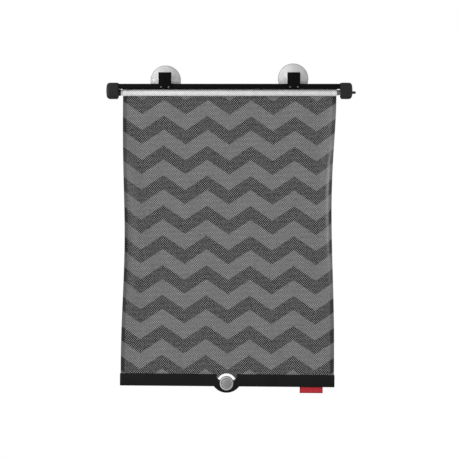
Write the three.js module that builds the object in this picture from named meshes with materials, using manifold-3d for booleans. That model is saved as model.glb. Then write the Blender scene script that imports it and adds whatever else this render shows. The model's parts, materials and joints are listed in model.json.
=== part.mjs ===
// Roller sun shade for a car's side window, in millimetres.
// X runs to the right as seen from inside the car, Y points at the window and Z is up.
// The origin lies on the glass, midway between the two upper suction cups.
import * as THREE from 'three';
import { mergeVertices } from 'three/addons/utils/BufferGeometryUtils.js';
import Module from 'manifold-3d';

const wasm = await Module();
wasm.setup();

// Clearances
const runGap = 0.3;
const seatGap = 0.25;
const pressGap = 0.15;

// Film, before it is wound or hung
const filmWidth = 320;
const filmThickness = 0.3;
const printThickness = 0.1;
const printGap = 0.05;

// Roller: a tube with the film wound on it, held below the upper suction cups
const axisBelowCups = 20.2;
const rollerShift = 0.5;
const tubeOverFilm = 0.5;
const tubeRadius = 4.5;
const tubeWall = 0.6;
const rollRadius = 5.2;
const fullRollRadius = 7.4;

// Rail: an upside-down channel over the roller
const railOverRoll = 5.5;
const railHeight = 7.5;
const railAboveRoll = 0.4;
const railWall = 1.4;
const railCorner = 5;
const rollRoom = 0.95;
const railTuck = 8;

// End caps
const capLength = 18.5;
const capHeight = 24.3;
const capWall = 1.3;
const capEndWall = 2;
const capEdge = 5;
const capChamfer = 1.6;
const capWebWall = 2;
const capWebInset = 2.5;

// Spring motor in the left half of the tube
const bossRadius = 5;
const bossReach = 3.4;
const arborRadius = 1.5;
const arborLength = 138;
const arborGrip = 12;
const arborCollar = 2;
const plugFlange = 4.3;
const plugFlangeLength = 2;
const plugGrip = 12;
const springWire = 0.4;
const springTurns = 22;
const springPlugLength = 9.5;

// Release button and brake at the right end
const sleeveRadius = 4.1;
const sleeveBore = 1.5;
const sleeveWall = 0.9;
const sleeveFlange = 5;
const sleeveFlangeLength = 1.3;
const sleeveRibs = 2;
const sleeveGroove = 0.5;
const stemRadius = 1.2;
const buttonRadius = 1.95;
const buttonReach = 4.9;
const buttonCollar = 3.4;
const buttonCollarLength = 1.4;
const brakeRadius = 3.3;
const brakeLength = 2.2;
const stemHeadLength = 1.3;
const stemHeadOver = 0.8;
const buttonNose = 1.4;
const buttonWire = 0.25;
const buttonCoil = 2.5;
const buttonTurns = 6;

// Upper suction cups, with the right one set a little higher than the left one
const cupSpacing = 191.6;
const cupRise = 1.5;
const cupRadius = 23;
const cupLip = 2.5;
const cupEdge = 0.8;
const cupDepth = 6.5;
const cupShoulder = 8.5;
const cupHub = 4.6;
const neckRadius = 2.5;
const headRadius = 5;
const headLength = 3;
const headEdge = 0.5;

// Brackets that hook the cups to the rail
const bracketShift = 0.7;
const bracketWidth = 19;
const bracketTop = 9.8;
const bracketDrop = 5.8;
const bracketWall = 2;
const plateInset = 4.5;
const pinSpread = 11.5;
const pinRise = 2.3;
const pinRadius = 0.8;
const pinHead = 1.3;

// Film: drawn down from the back of the roll, with side edges that curl forward
const leanDegrees = 0.5;
const filmOverAxis = 1.5;
const drawnLength = 422.2;
const leftCurl = { length: 36, angle: 0.87, peak: 1.09 };
const rightCurl = { length: 28, angle: 1.17, peak: 0.74 };
const curlSharpness = 1.3;
const curlRoom = 5;
const curlColumns = 3;
const curlRows = 9;

// Chevron print: dark zigzag bands on the grey film
const chevronPeriod = 65.5;
const chevronRise = 21.8;
const chevronRepeat = 45;
const darkBand = 21;
const firstGreyPeak = 11.3;
const printEdge = 0.8;
const printFoot = 6;

// Hem bar: two strips that clamp the film, with a round pull tab in the middle
const barOverFilm = 0.9;
const barHeight = 18.2;
const barCorner = 0.9;
const stripThickness = 1.4;
const filmTuck = 15.3;
const tabRadius = 23.8;
const tabCentreDrop = 3.9;
const notchRadius = 15.4;
const slotOuter = 14.85;
const slotInner = 8;
const slotFrom = 28;
const slotTo = 152;

// Lower suction cup, whose head shows in front of the hem bar
const knobShift = -1;
const knobDrop = 13.8;
const knobRadius = 10.1;
const knobLength = 3.8;
const knobNeck = 3.6;
const lowerLip = 10.8;
const lowerLipWidth = 2.2;
const lowerDish = 3;

// Label ribbon caught in the hem bar's lower edge
const labelWidth = 34.5;
const labelReach = 9;
const labelTuck = 1.6;
const labelThickness = 0.5;
const labelCorner = 0.2;
const labelFromEdge = 34;

// Roundness
const cupSteps = 32;
const shaftSteps = 20;
const pinSteps = 12;
const arcSteps = 4;
const discSteps = 10;
const wireSides = 4;

// Derived places, measured from the roller axis
const rollLength = filmWidth + 2 * tubeOverFilm;
const capMouth = rollLength / 2 + railOverRoll;
const rollLeft = rollerShift - rollLength / 2;
const rollRight = rollerShift + rollLength / 2;
const railBottom = rollRadius + railAboveRoll;
const railTop = railBottom + railHeight;
const railDepth = 2 * (fullRollRadius + rollRoom + railWall);
const axisFromGlass = cupShoulder + runGap + railDepth / 2;
const capDepth = railDepth + 2 * (seatGap + capWall);
const capTop = railTop + seatGap + capWall;
const capBottom = capTop - capHeight;
const cavityCorner = railCorner - seatGap;
const tubeBore = tubeRadius - tubeWall;
const plugRadius = tubeBore - pressGap;
const endWallInside = capMouth + capLength - capEndWall;

// Derived places of the hanging film, measured down from the roller axis and forward from the film's back
const printNear = filmThickness + printGap;
const printFar = printNear + printThickness;
const filmBottom = drawnLength + filmTuck;
const barBottom = drawnLength + barHeight;
const knobDown = drawnLength + knobDrop;
const barGap = runGap + printFar;
const filmBack = axisFromGlass - rollRadius - runGap - printFar;

function finish(color, roughness, metalness = 0) {
	return new THREE.MeshStandardMaterial({ color, roughness, metalness });
}

const blackPlastic = finish(0x141414, 0.5);
const capPlastic = finish(0x232323, 0.62);
const whiteFilm = finish(0xd2d2d0, 0.5);
const greyFilm = finish(0x7a7a7a, 0.55);
const darkPrint = finish(0x2a2a2a, 0.55);
const clearVinyl = finish(0xd8dadb, 0.25);
const whiteNylon = finish(0xdededb, 0.45);
const greyNylon = finish(0x8e8f90, 0.4);
const aluminium = finish(0xb4b6b8, 0.35, 1);
const steel = finish(0x9a9c9e, 0.3, 1);
const brakeRubber = finish(0x2c2c2e, 0.85);
const redRibbon = finish(0xa52a33, 0.8);

// Welds a closed surface and turns it the right way out
function solidOf(geometry) {
	const bare = geometry.clone();
	bare.deleteAttribute('normal');
	bare.deleteAttribute('uv');
	const welded = mergeVertices(bare, 1e-4);
	const position = welded.getAttribute('position');
	const corners = welded.getIndex().array;
	const triangles = [];
	const [a, b, c] = [new THREE.Vector3(), new THREE.Vector3(), new THREE.Vector3()];
	let volume = 0;
	for (let i = 0; i < corners.length; i += 3) {
		const [p, q, r] = corners.slice(i, i + 3);
		if (p === q || q === r || r === p) continue;
		triangles.push([p, q, r]);
		a.fromBufferAttribute(position, p);
		b.fromBufferAttribute(position, q);
		c.fromBufferAttribute(position, r);
		volume += a.dot(b.cross(c));
	}
	if (volume < 0) triangles.forEach((triangle) => triangle.reverse());
	const mesh = new wasm.Mesh({
		numProp: 3,
		vertProperties: new Float32Array(position.array),
		triVerts: new Uint32Array(triangles.flat()),
	});
	return new wasm.Manifold(mesh);
}

function geometryOf(solid) {
	const mesh = solid.getMesh();
	const geometry = new THREE.BufferGeometry();
	geometry.setAttribute('position', new THREE.BufferAttribute(mesh.vertProperties, 3));
	geometry.setIndex(new THREE.BufferAttribute(mesh.triVerts, 1));
	geometry.computeVertexNormals();
	return geometry;
}

function piece(group, name, solid, material) {
	const mesh = new THREE.Mesh(geometryOf(solid), material);
	mesh.name = name;
	group.add(mesh);
	return mesh;
}

function polygon(points) {
	return new THREE.Shape(points.map(([u, v]) => new THREE.Vector2(u, v)));
}

function rectangle(left, right, bottom, top) {
	return polygon([[left, bottom], [right, bottom], [right, top], [left, top]]);
}

function roundedRectangle(left, right, bottom, top, radius) {
	const shape = new THREE.Shape();
	shape.absarc(right - radius, top - radius, radius, 0, Math.PI / 2);
	shape.absarc(left + radius, top - radius, radius, Math.PI / 2, Math.PI);
	shape.absarc(left + radius, bottom + radius, radius, Math.PI, 1.5 * Math.PI);
	shape.absarc(right - radius, bottom + radius, radius, 1.5 * Math.PI, 2 * Math.PI);
	return shape;
}

function disc(u, v, radius) {
	return new THREE.Shape().absarc(u, v, radius, 0, 2 * Math.PI);
}

// A shape drawn in X and Z, pushed from one Y to another
function alongY(shape, from, to, curveSegments = arcSteps) {
	const geometry = new THREE.ExtrudeGeometry(shape, { depth: to - from, bevelEnabled: false, curveSegments });
	geometry.rotateX(Math.PI / 2);
	geometry.translate(0, to, 0);
	return solidOf(geometry);
}

// A shape drawn in Y and Z, pushed from one X to another, with both ends' edges rounded by bevel
function alongX(shape, from, to, bevel = 0) {
	const geometry = new THREE.ExtrudeGeometry(shape, {
		depth: to - from - 2 * bevel,
		bevelEnabled: bevel > 0,
		bevelThickness: bevel,
		bevelSize: bevel,
		bevelOffset: -bevel,
		bevelSegments: arcSteps - 1,
		curveSegments: arcSteps,
	});
	geometry.translate(0, 0, from + bevel);
	const across = new THREE.Vector3(0, 1, 0);
	const up = new THREE.Vector3(0, 0, 1);
	const along = new THREE.Vector3(1, 0, 0);
	geometry.applyMatrix4(new THREE.Matrix4().makeBasis(across, up, along));
	return solidOf(geometry);
}

// A closed outline of [distance along the axis, radius] points, turned about X or about Y
function turnedY(outline, steps = cupSteps) {
	return solidOf(new THREE.LatheGeometry(outline.map(([y, r]) => new THREE.Vector2(r, y)), steps));
}

function turnedX(outline, steps = shaftSteps) {
	const geometry = new THREE.LatheGeometry(outline.map(([x, r]) => new THREE.Vector2(r, x)), steps);
	geometry.rotateZ(-Math.PI / 2);
	return solidOf(geometry);
}

function ringX(from, to, inner, outer) {
	return turnedX([[from, inner], [to, inner], [to, outer], [from, outer], [from, inner]]);
}

function rodX(from, to, radius) {
	return turnedX([[from, 0], [from, radius], [to, radius], [to, 0]]);
}

class Helix extends THREE.Curve {
	constructor(from, to, radius, turns) {
		super();
		Object.assign(this, { from, to, radius, turns });
	}

	getPoint(t, target = new THREE.Vector3()) {
		const angle = 2 * Math.PI * this.turns * t;
		const x = THREE.MathUtils.lerp(this.from, this.to, t);
		return target.set(x, this.radius * Math.cos(angle), this.radius * Math.sin(angle));
	}
}

// A coil of round wire about the X axis, between two end planes
function coilX(from, to, radius, wire, turns, stepsPerTurn) {
	const section = polygon(Array.from({ length: wireSides }, (_, i) => {
		const angle = (2 * Math.PI * i) / wireSides;
		return [wire * Math.cos(angle), wire * Math.sin(angle)];
	}));
	const extrudePath = new Helix(from + wire, to - wire, radius, turns);
	return solidOf(new THREE.ExtrudeGeometry(section, { steps: turns * stepsPerTurn, extrudePath }));
}

// Rail

function rail(pinPlaces) {
	const outer = railDepth / 2;
	const inner = outer - railWall;
	const innerCorner = railCorner - railWall;
	const section = new THREE.Shape();
	section.moveTo(outer, railBottom);
	section.absarc(outer - railCorner, railTop - railCorner, railCorner, 0, Math.PI / 2);
	section.absarc(railCorner - outer, railTop - railCorner, railCorner, Math.PI / 2, Math.PI);
	section.lineTo(-outer, railBottom);
	section.lineTo(-inner, railBottom);
	section.absarc(innerCorner - inner, railTop - railCorner, innerCorner, Math.PI, Math.PI / 2, true);
	section.absarc(inner - innerCorner, railTop - railCorner, innerCorner, Math.PI / 2, 0, true);
	section.lineTo(inner, railBottom);
	const reach = capMouth + railTuck;
	let solid = alongX(section, -reach, reach);
	for (const x of pinPlaces) {
		const hole = alongY(disc(x, railBottom + pinRise, pinRadius + seatGap), -outer - 1, -inner + 1);
		solid = solid.subtract(hole);
	}
	return solid;
}

// End caps, drawn with the mouth at X = 0 and the closed end at X = capLength

function capForm(inset, end) {
	const half = capDepth / 2 - inset;
	const corner = cavityCorner + capWall - inset;
	const bevel = Math.min(capEdge - inset, corner - 0.5);
	const section = roundedRectangle(-half, half, capBottom + inset, capTop - inset, corner);
	return alongX(section, -capEdge - 1, end, bevel);
}

function capShell() {
	const shell = capForm(0, capLength).subtract(capForm(capWall, capLength - capEndWall));
	const front = alongX(rectangle(-capDepth, capDepth, capBottom - 1, capTop + 1), -capEdge - 2, 0);
	const chamfer = polygon([
		[-1, capBottom - 1],
		[capChamfer, capBottom - 1],
		[capChamfer, capBottom],
		[0, capBottom + 2 * capChamfer],
		[-1, capBottom + 2 * capChamfer],
	]);
	return shell.subtract(front).subtract(alongY(chamfer, -capDepth, capDepth));
}

// A cross wall inside a cap, below the rail
function capWeb() {
	const half = capDepth / 2 - capWall / 2;
	const wall = roundedRectangle(-half, half, capBottom + capWall / 2, capTop, cavityCorner + capWall / 2);
	const top = alongX(rectangle(-capDepth, capDepth, railBottom - seatGap, capTop + 1), 0, capLength);
	return alongX(wall, capWebInset, capWebInset + capWebWall).subtract(top);
}

function leftCap() {
	const boss = rodX(-bossReach, capLength - capEndWall / 2, bossRadius);
	const hole = rodX(-bossReach - 1, arborGrip + seatGap, arborRadius + pressGap);
	return capShell().add(capWeb()).add(boss).subtract(hole);
}

function rightCap() {
	const sleeveHole = rodX(0, capWebInset + capWebWall + 1, sleeveRadius + seatGap);
	const buttonHole = rodX(capLength - capEndWall - 1, capLength + 1, buttonRadius + seatGap);
	return capShell().add(capWeb()).subtract(sleeveHole).subtract(buttonHole);
}

// Spring motor

const bossEnd = -capMouth + bossReach;
const arborLeft = -capMouth - arborGrip;
const arborRight = arborLeft + arborLength;
const collarLeft = rollLeft + plugGrip + runGap;
const springLeft = collarLeft + arborCollar + runGap;
const springPlugLeft = arborRight - springPlugLength;
const springRadius = (arborRadius + tubeBore) / 2;

function arbor() {
	const collar = tubeBore - 2 * runGap;
	return rodX(arborLeft, arborRight, arborRadius).add(rodX(collarLeft, collarLeft + arborCollar, collar));
}

function leftPlug() {
	const flange = ringX(bossEnd + runGap, rollLeft - pressGap, arborRadius + seatGap, plugFlange);
	const spigot = ringX(rollLeft - pressGap, rollLeft + plugGrip, arborRadius + seatGap, plugRadius);
	return flange.add(spigot);
}

// Brake end: the tube turns on a fixed sleeve, and the button's stem pulls a brake disc against the plug

const plugRight = rollRight + pressGap + plugFlangeLength;
const plugInside = rollRight - plugGrip;
const sleeveLeft = plugRight + runGap;
const webOutside = capMouth + capWebInset + capWebWall;
const sleeveFlangeLeft = webOutside + seatGap;
const sleeveRight = sleeveFlangeLeft + sleeveFlangeLength;
const journalRadius = sleeveBore + sleeveWall;
const buttonCollarRight = endWallInside - runGap;
const buttonCollarLeft = buttonCollarRight - buttonCollarLength;
const brakeRight = plugInside - runGap;
const brakeLeft = brakeRight - brakeLength;

function rightPlug() {
	const bore = journalRadius + seatGap;
	const flange = ringX(rollRight + pressGap, plugRight, bore, plugFlange);
	return flange.add(ringX(plugInside, rollRight + pressGap, bore, plugRadius));
}

function bearingSleeve() {
	let solid = ringX(sleeveLeft, sleeveRight, sleeveBore, sleeveRadius);
	const pitch = (capMouth - sleeveLeft) / sleeveRibs;
	for (let i = 0; i < sleeveRibs; i++) {
		const from = sleeveLeft + (i + 0.5) * pitch;
		solid = solid.subtract(ringX(from, from + pitch / 2, sleeveRadius - sleeveGroove, sleeveRadius + 1));
	}
	const flange = ringX(sleeveFlangeLeft, sleeveRight, sleeveBore, sleeveFlange);
	return solid.add(flange).add(ringX(plugInside + runGap, sleeveLeft + 1, sleeveBore, journalRadius));
}

function releaseButton() {
	const tip = capMouth + capLength + buttonReach;
	const nub = turnedX([
		[buttonCollarRight, 0],
		[buttonCollarRight, buttonRadius],
		[tip - buttonNose, buttonRadius],
		[tip - 0.4 * buttonNose, 0.85 * buttonRadius],
		[tip, 0.45 * buttonRadius],
		[tip, 0],
	]);
	const headEnd = brakeLeft - pressGap;
	return rodX(buttonCollarLeft, buttonCollarRight, buttonCollar)
		.add(nub)
		.add(rodX(headEnd - stemHeadLength, buttonCollarLeft, stemRadius))
		.add(rodX(headEnd - stemHeadLength, headEnd, stemRadius + stemHeadOver));
}

// Suction cups, drawn with the lip at Y = 0 and the head towards the viewer

const bracketFront = axisFromGlass + railDepth / 2 + seatGap + bracketWall;
const plateBack = cupShoulder + runGap + plateInset;
const plateFront = plateBack + bracketWall;

function upperCup() {
	const neckEnd = plateFront + seatGap;
	return turnedY([
		[-cupDepth, 0],
		[-0.93 * cupDepth, 0.35 * cupRadius],
		[-0.62 * cupDepth, 0.65 * cupRadius],
		[-0.2 * cupDepth, cupRadius - cupLip - 1.5],
		[0, cupRadius - cupLip],
		[0, cupRadius],
		[-cupEdge, cupRadius],
		[-cupEdge - 0.25 * cupShoulder, 0.84 * cupRadius],
		[-0.68 * cupShoulder, 0.62 * cupRadius],
		[-0.95 * cupShoulder, 0.4 * cupRadius],
		[-cupShoulder, cupHub],
		[-plateBack + seatGap, cupHub - 0.3],
		[-plateBack + seatGap, neckRadius],
		[-neckEnd, neckRadius],
		[-neckEnd, headRadius - headEdge],
		[-neckEnd - headEdge, headRadius],
		[-neckEnd - headLength + 2 * headEdge, headRadius - headEdge / 2],
		[-neckEnd - headLength, headRadius - 3 * headEdge],
		[-neckEnd - headLength, 0],
	]);
}

// Bracket: a hook over the rail, with a long front leg and a slotted back leg that takes the cup's neck
function bracket(side) {
	const railLine = railTop - axisBelowCups;
	const legEnd = railLine - bracketDrop;
	const section = polygon([
		[-bracketFront, legEnd],
		[-bracketFront + bracketWall, legEnd],
		[-bracketFront + bracketWall, bracketTop - bracketWall],
		[-plateFront, bracketTop - bracketWall],
		[-plateFront, railLine + seatGap],
		[-plateBack, railLine + seatGap],
		[-plateBack, bracketTop],
		[-bracketFront, bracketTop],
	]);
	const middle = side * bracketShift;
	const half = bracketWidth / 2;
	const slotWidth = neckRadius + pressGap;
	const slotRise = slotWidth + cupRise;
	const slotShape = roundedRectangle(-slotWidth, slotWidth, -slotRise, slotRise, slotWidth);
	const slot = alongY(slotShape, -plateFront - 1, -plateBack + 1);
	const [from, to] = [0, -side * bracketWidth].sort((a, b) => a - b);
	const sideWay = rectangle(from, to, -slotWidth, slotWidth);
	let solid = alongX(section, middle - half, middle + half)
		.subtract(slot)
		.subtract(alongY(sideWay, -plateFront - 1, -plateBack + 1));
	const pinLine = railBottom + pinRise - axisBelowCups;
	for (const hand of [-1, 1]) {
		const hole = disc(middle + (hand * pinSpread) / 2, pinLine, pinRadius + seatGap);
		solid = solid.subtract(alongY(hole, -bracketFront - 1, -bracketFront + bracketWall + 1));
	}
	return solid;
}

function bracketPin() {
	const head = -bracketFront - pressGap;
	const tail = -axisFromGlass - railDepth / 2 + railWall + runGap;
	return turnedY([
		[head - 0.7, 0],
		[head - 0.6, 0.7 * pinHead],
		[head - 0.25, pinHead],
		[head, pinHead],
		[head, pinRadius],
		[tail, pinRadius],
		[tail, pinHead - 0.2],
		[tail + 0.5, pinHead - 0.3],
		[tail + 0.5, 0],
	], pinSteps);
}

// Film, laid out by its flat width and by the distance down from the roller axis

const curlFrom = rollRadius + 1;
const curlTo = drawnLength - 1;

function curlAngle(curl, down) {
	const share = THREE.MathUtils.clamp((down - curlFrom) / (curlTo - curlFrom), 0, 1);
	return curl.angle * Math.sin(Math.PI * share ** curl.peak) ** curlSharpness;
}

// The place of a point of the film: across is its distance from the middle along the film,
// down its distance below the roller axis, and out its height in front of the film's back
function filmPoint(across, down, out) {
	const side = Math.sign(across);
	const curl = across < 0 ? leftCurl : rightCurl;
	const flat = filmWidth / 2 - curl.length;
	const bent = Math.abs(across) - flat;
	if (bent <= 0) return new THREE.Vector3(across, -out, -down);
	const full = Math.max(Math.abs(curlAngle(curl, down)), 1e-4);
	const radius = curl.length / full;
	const turn = bent / radius;
	const reach = flat + radius * Math.sin(turn) - out * Math.sin(turn);
	return new THREE.Vector3(side * reach, -radius * (1 - Math.cos(turn)) - out * Math.cos(turn), -down);
}

function filmColumns() {
	const steps = Array.from({ length: curlColumns + 1 }, (_, i) => i / curlColumns);
	const left = steps.map((t) => -filmWidth / 2 + t * leftCurl.length);
	const right = steps.map((t) => filmWidth / 2 - (1 - t) * rightCurl.length);
	return [...left, ...right];
}

function filmRows() {
	const rowHeight = (curlTo - curlFrom) / curlRows;
	const steps = Array.from({ length: curlRows + 1 }, (_, i) => curlFrom + i * rowHeight);
	return [-filmOverAxis, ...steps, filmBottom];
}

// One layer of the film between two heights in front of its back
function filmLayer(near, far) {
	const columns = filmColumns();
	const rows = filmRows();
	const points = [];
	for (const out of [near, far]) {
		for (const down of rows) {
			for (const across of columns) points.push(filmPoint(across, down, out));
		}
	}
	const at = (layer, row, column) => (layer * rows.length + row) * columns.length + column;
	const index = [];
	const quad = (a, b, c, d) => index.push(a, b, c, a, c, d);
	for (let row = 0; row + 1 < rows.length; row++) {
		for (let column = 0; column + 1 < columns.length; column++) {
			const corners = (layer) => [
				at(layer, row, column),
				at(layer, row + 1, column),
				at(layer, row + 1, column + 1),
				at(layer, row, column + 1),
			];
			quad(...corners(1));
			const [a, b, c, d] = corners(0);
			index.push(c, b, a, d, c, a);
		}
	}
	const [lastRow, lastColumn] = [rows.length - 1, columns.length - 1];
	for (let row = 0; row < lastRow; row++) {
		const next = row + 1;
		quad(at(0, row, 0), at(0, next, 0), at(1, next, 0), at(1, row, 0));
		quad(at(1, row, lastColumn), at(1, next, lastColumn), at(0, next, lastColumn), at(0, row, lastColumn));
	}
	for (let column = 0; column < lastColumn; column++) {
		const next = column + 1;
		quad(at(0, 0, column), at(1, 0, column), at(1, 0, next), at(0, 0, next));
		quad(at(1, lastRow, column), at(0, lastRow, column), at(0, lastRow, next), at(1, lastRow, next));
	}
	const geometry = new THREE.BufferGeometry().setFromPoints(points);
	geometry.setIndex(index);
	return solidOf(geometry).subtract(slotCut(-barGap - 1, 1));
}

// The zigzag line whose peaks lie at a distance below the roller axis, from left to right
function zigzag(peakDown) {
	const half = chevronPeriod / 2;
	const turns = Math.floor(filmWidth / 2 / half);
	const corners = Array.from({ length: 2 * turns + 1 }, (_, i) => (i - turns) * half);
	const stations = [...new Set([...corners, ...filmColumns()])].sort((a, b) => a - b);
	const line = stations.map((across) => {
		const offset = Math.abs(across / chevronPeriod - Math.round(across / chevronPeriod));
		const down = peakDown + chevronRise * (1 - 2 * offset);
		return [filmPoint(across, down, 0).x, -down];
	});
	const beyond = filmWidth / 2 + curlRoom;
	return [[-beyond, line[0][1]], ...line, [beyond, line[line.length - 1][1]]];
}

function chevronPrint() {
	const depth = leftCurl.length + rightCurl.length;
	const count = Math.ceil((filmBottom - firstGreyPeak) / chevronRepeat) + 1;
	const beyond = filmWidth / 2 + curlRoom;
	const bands = [rectangle(-beyond, beyond, -filmBottom - curlRoom, printFoot - filmBottom)];
	for (let i = 0; i < count; i++) {
		const lower = firstGreyPeak + i * chevronRepeat;
		bands.push(polygon([...zigzag(lower - darkBand), ...zigzag(lower).reverse()]));
	}
	for (const side of [-1, 1]) {
		const inner = filmRows().map((down) => [filmPoint(side * (filmWidth / 2 - printEdge), down, 0).x, -down]);
		const outer = inner.map(([, z]) => [side * beyond, z]).reverse();
		bands.push(polygon([...inner, ...outer]));
	}
	const inked = bands.map((band) => alongY(band, -depth, depth)).reduce((sum, band) => sum.add(band));
	return filmLayer(printNear, printFar).intersect(inked);
}

// The crescent slot above the knob and the hole for its neck, cut through film and strips alike
function slotCut(from, to) {
	const [start, end] = [slotFrom, slotTo].map(THREE.MathUtils.degToRad);
	const slot = new THREE.Shape();
	slot.absarc(knobShift, -knobDown, slotOuter, start, end);
	slot.absarc(knobShift, -knobDown, slotInner, end, start, true);
	const neck = disc(knobShift, -knobDown, knobNeck + runGap);
	return alongY(slot, from, to, discSteps).add(alongY(neck, from, to, discSteps));
}

function hemStrip(from, to) {
	const half = filmWidth / 2 + barOverFilm;
	const bar = roundedRectangle(-half, half, -barBottom, -drawnLength, barCorner);
	const tab = disc(knobShift, -drawnLength - tabCentreDrop, tabRadius);
	const barMiddle = -drawnLength - barHeight / 2;
	const above = rectangle(-tabRadius - half, tabRadius + half, barMiddle, -drawnLength + tabRadius);
	const notch = disc(knobShift, -drawnLength, notchRadius);
	const boss = disc(knobShift, -knobDown, slotInner);
	return alongY(tab, from, to, discSteps)
		.subtract(alongY(above, from - 1, to + 1))
		.add(alongY(bar, from, to, 3))
		.subtract(alongY(notch, from - 1, to + 1, discSteps))
		.add(alongY(boss, from, to, discSteps))
		.subtract(slotCut(from - 1, to + 1));
}

// Lower cup, drawn with the film's back at Y = 0
function lowerCup() {
	const front = -barGap - stripThickness - runGap;
	const back = runGap + stripThickness + runGap;
	const glass = filmBack;
	return turnedY([
		[front - knobLength + 1, 0],
		[front - knobLength + 0.5, 0.3 * knobRadius],
		[front - knobLength + 1.2, 0.56 * knobRadius],
		[front - knobLength + 2.2, 0.66 * knobRadius],
		[front - knobLength + 2.2, 0.76 * knobRadius],
		[front - knobLength, 0.84 * knobRadius],
		[front - knobLength + 0.3, 0.95 * knobRadius],
		[front - knobLength + 1.2, knobRadius],
		[front - 0.6, knobRadius],
		[front, 0.94 * knobRadius],
		[front, knobNeck],
		[back, knobNeck],
		[back + 0.2, 1.4 * knobNeck],
		[glass - 0.45 * lowerDish, 0.84 * lowerLip],
		[glass - 0.6, lowerLip],
		[glass, lowerLip],
		[glass, lowerLip - lowerLipWidth],
		[glass - 0.6 * lowerDish, 0.5 * lowerLip],
		[glass - lowerDish, 0],
	]);
}

function labelTag() {
	const middle = (runGap - barGap) / 2;
	const [back, front] = [middle + labelThickness / 2, middle - labelThickness / 2];
	const top = -barBottom + labelTuck;
	const section = roundedRectangle(front, back, -barBottom - labelReach, top, labelCorner);
	const centre = filmWidth / 2 - labelFromEdge;
	return alongX(section, centre - labelWidth / 2, centre + labelWidth / 2);
}

// Assembly

const shade = new THREE.Group();

const housing = new THREE.Group();
housing.position.set(0, -axisFromGlass, -axisBelowCups);
shade.add(housing);

const bracketMiddles = [-1, 1].map((side) => side * (cupSpacing / 2 + bracketShift));
const pinPlaces = bracketMiddles.flatMap((x) => [x - pinSpread / 2, x + pinSpread / 2]);
piece(housing, 'rail', rail(pinPlaces), blackPlastic);
const capLeft = piece(housing, 'end_cap_left', leftCap(), capPlastic);
capLeft.rotation.z = Math.PI;
capLeft.position.x = -capMouth;
piece(housing, 'end_cap_right', rightCap(), capPlastic).position.x = capMouth;
piece(housing, 'spring_arbor', arbor(), steel);
const motorSides = 7;
const motor = coilX(springLeft, springPlugLeft - runGap, springRadius, springWire, springTurns, motorSides);
piece(housing, 'torsion_spring', motor, steel);
piece(housing, 'bearing_sleeve', bearingSleeve(), greyNylon);

const springPlug = ringX(springPlugLeft, arborRight - 1, arborRadius + seatGap, plugRadius);
piece(housing, 'roller_tube', ringX(rollLeft, rollRight, tubeBore, tubeRadius), aluminium);
piece(housing, 'film_roll', ringX(rollLeft, rollRight, tubeRadius + pressGap, rollRadius), whiteFilm);
piece(housing, 'end_plug_left', leftPlug(), whiteNylon);
piece(housing, 'end_plug_right', rightPlug(), greyNylon);
piece(housing, 'spring_plug', springPlug, whiteNylon);

piece(housing, 'release_button', releaseButton(), blackPlastic);
piece(housing, 'brake_disc', ringX(brakeLeft, brakeRight, stemRadius + pressGap, brakeRadius), brakeRubber);
const springFrom = sleeveRight + pressGap;
const springTo = buttonCollarLeft - pressGap;
const springSides = 8;
const returnSpring = coilX(springFrom, springTo, buttonCoil, buttonWire, buttonTurns, springSides);
piece(housing, 'button_spring', returnSpring, steel);

for (const [name, side] of [['left', -1], ['right', 1]]) {
	const station = new THREE.Group();
	station.position.x = (side * cupSpacing) / 2;
	shade.add(station);
	piece(station, `cup_bracket_${name}`, bracket(side), blackPlastic);
	piece(station, `upper_cup_${name}`, upperCup(), clearVinyl).position.z = side * cupRise;
	for (const [place, hand] of [['a', -1], ['b', 1]]) {
		const pin = piece(station, `bracket_pin_${name}_${place}`, bracketPin(), steel);
		pin.position.set(side * bracketShift + (hand * pinSpread) / 2, 0, railBottom + pinRise - axisBelowCups);
	}
}

const hanging = new THREE.Group();
hanging.position.set(rollerShift, -filmBack, -axisBelowCups);
hanging.rotation.y = THREE.MathUtils.degToRad(leanDegrees);
shade.add(hanging);

piece(hanging, 'shade_film', filmLayer(0, filmThickness), greyFilm);
piece(hanging, 'chevron_print', chevronPrint(), darkPrint);
piece(hanging, 'hem_strip_front', hemStrip(-barGap - stripThickness, -barGap), blackPlastic);
piece(hanging, 'hem_strip_back', hemStrip(runGap, runGap + stripThickness), blackPlastic);
piece(hanging, 'label_tag', labelTag(), redRibbon);
piece(hanging, 'lower_cup', lowerCup(), clearVinyl).position.set(knobShift, 0, -knobDown);

export default shade;
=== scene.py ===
"""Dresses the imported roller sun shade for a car's side window.

The frame gives every place: X runs right, Y points through the glass and Z is up, in metres.
The shade hangs from two suction cups above a rail and its film comes down behind the roller.
"""
import json
import logging
import math
from dataclasses import dataclass, field
from enum import Enum
from typing import Sequence, Union

import bmesh
import bpy
from mathutils import Matrix, Vector


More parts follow.
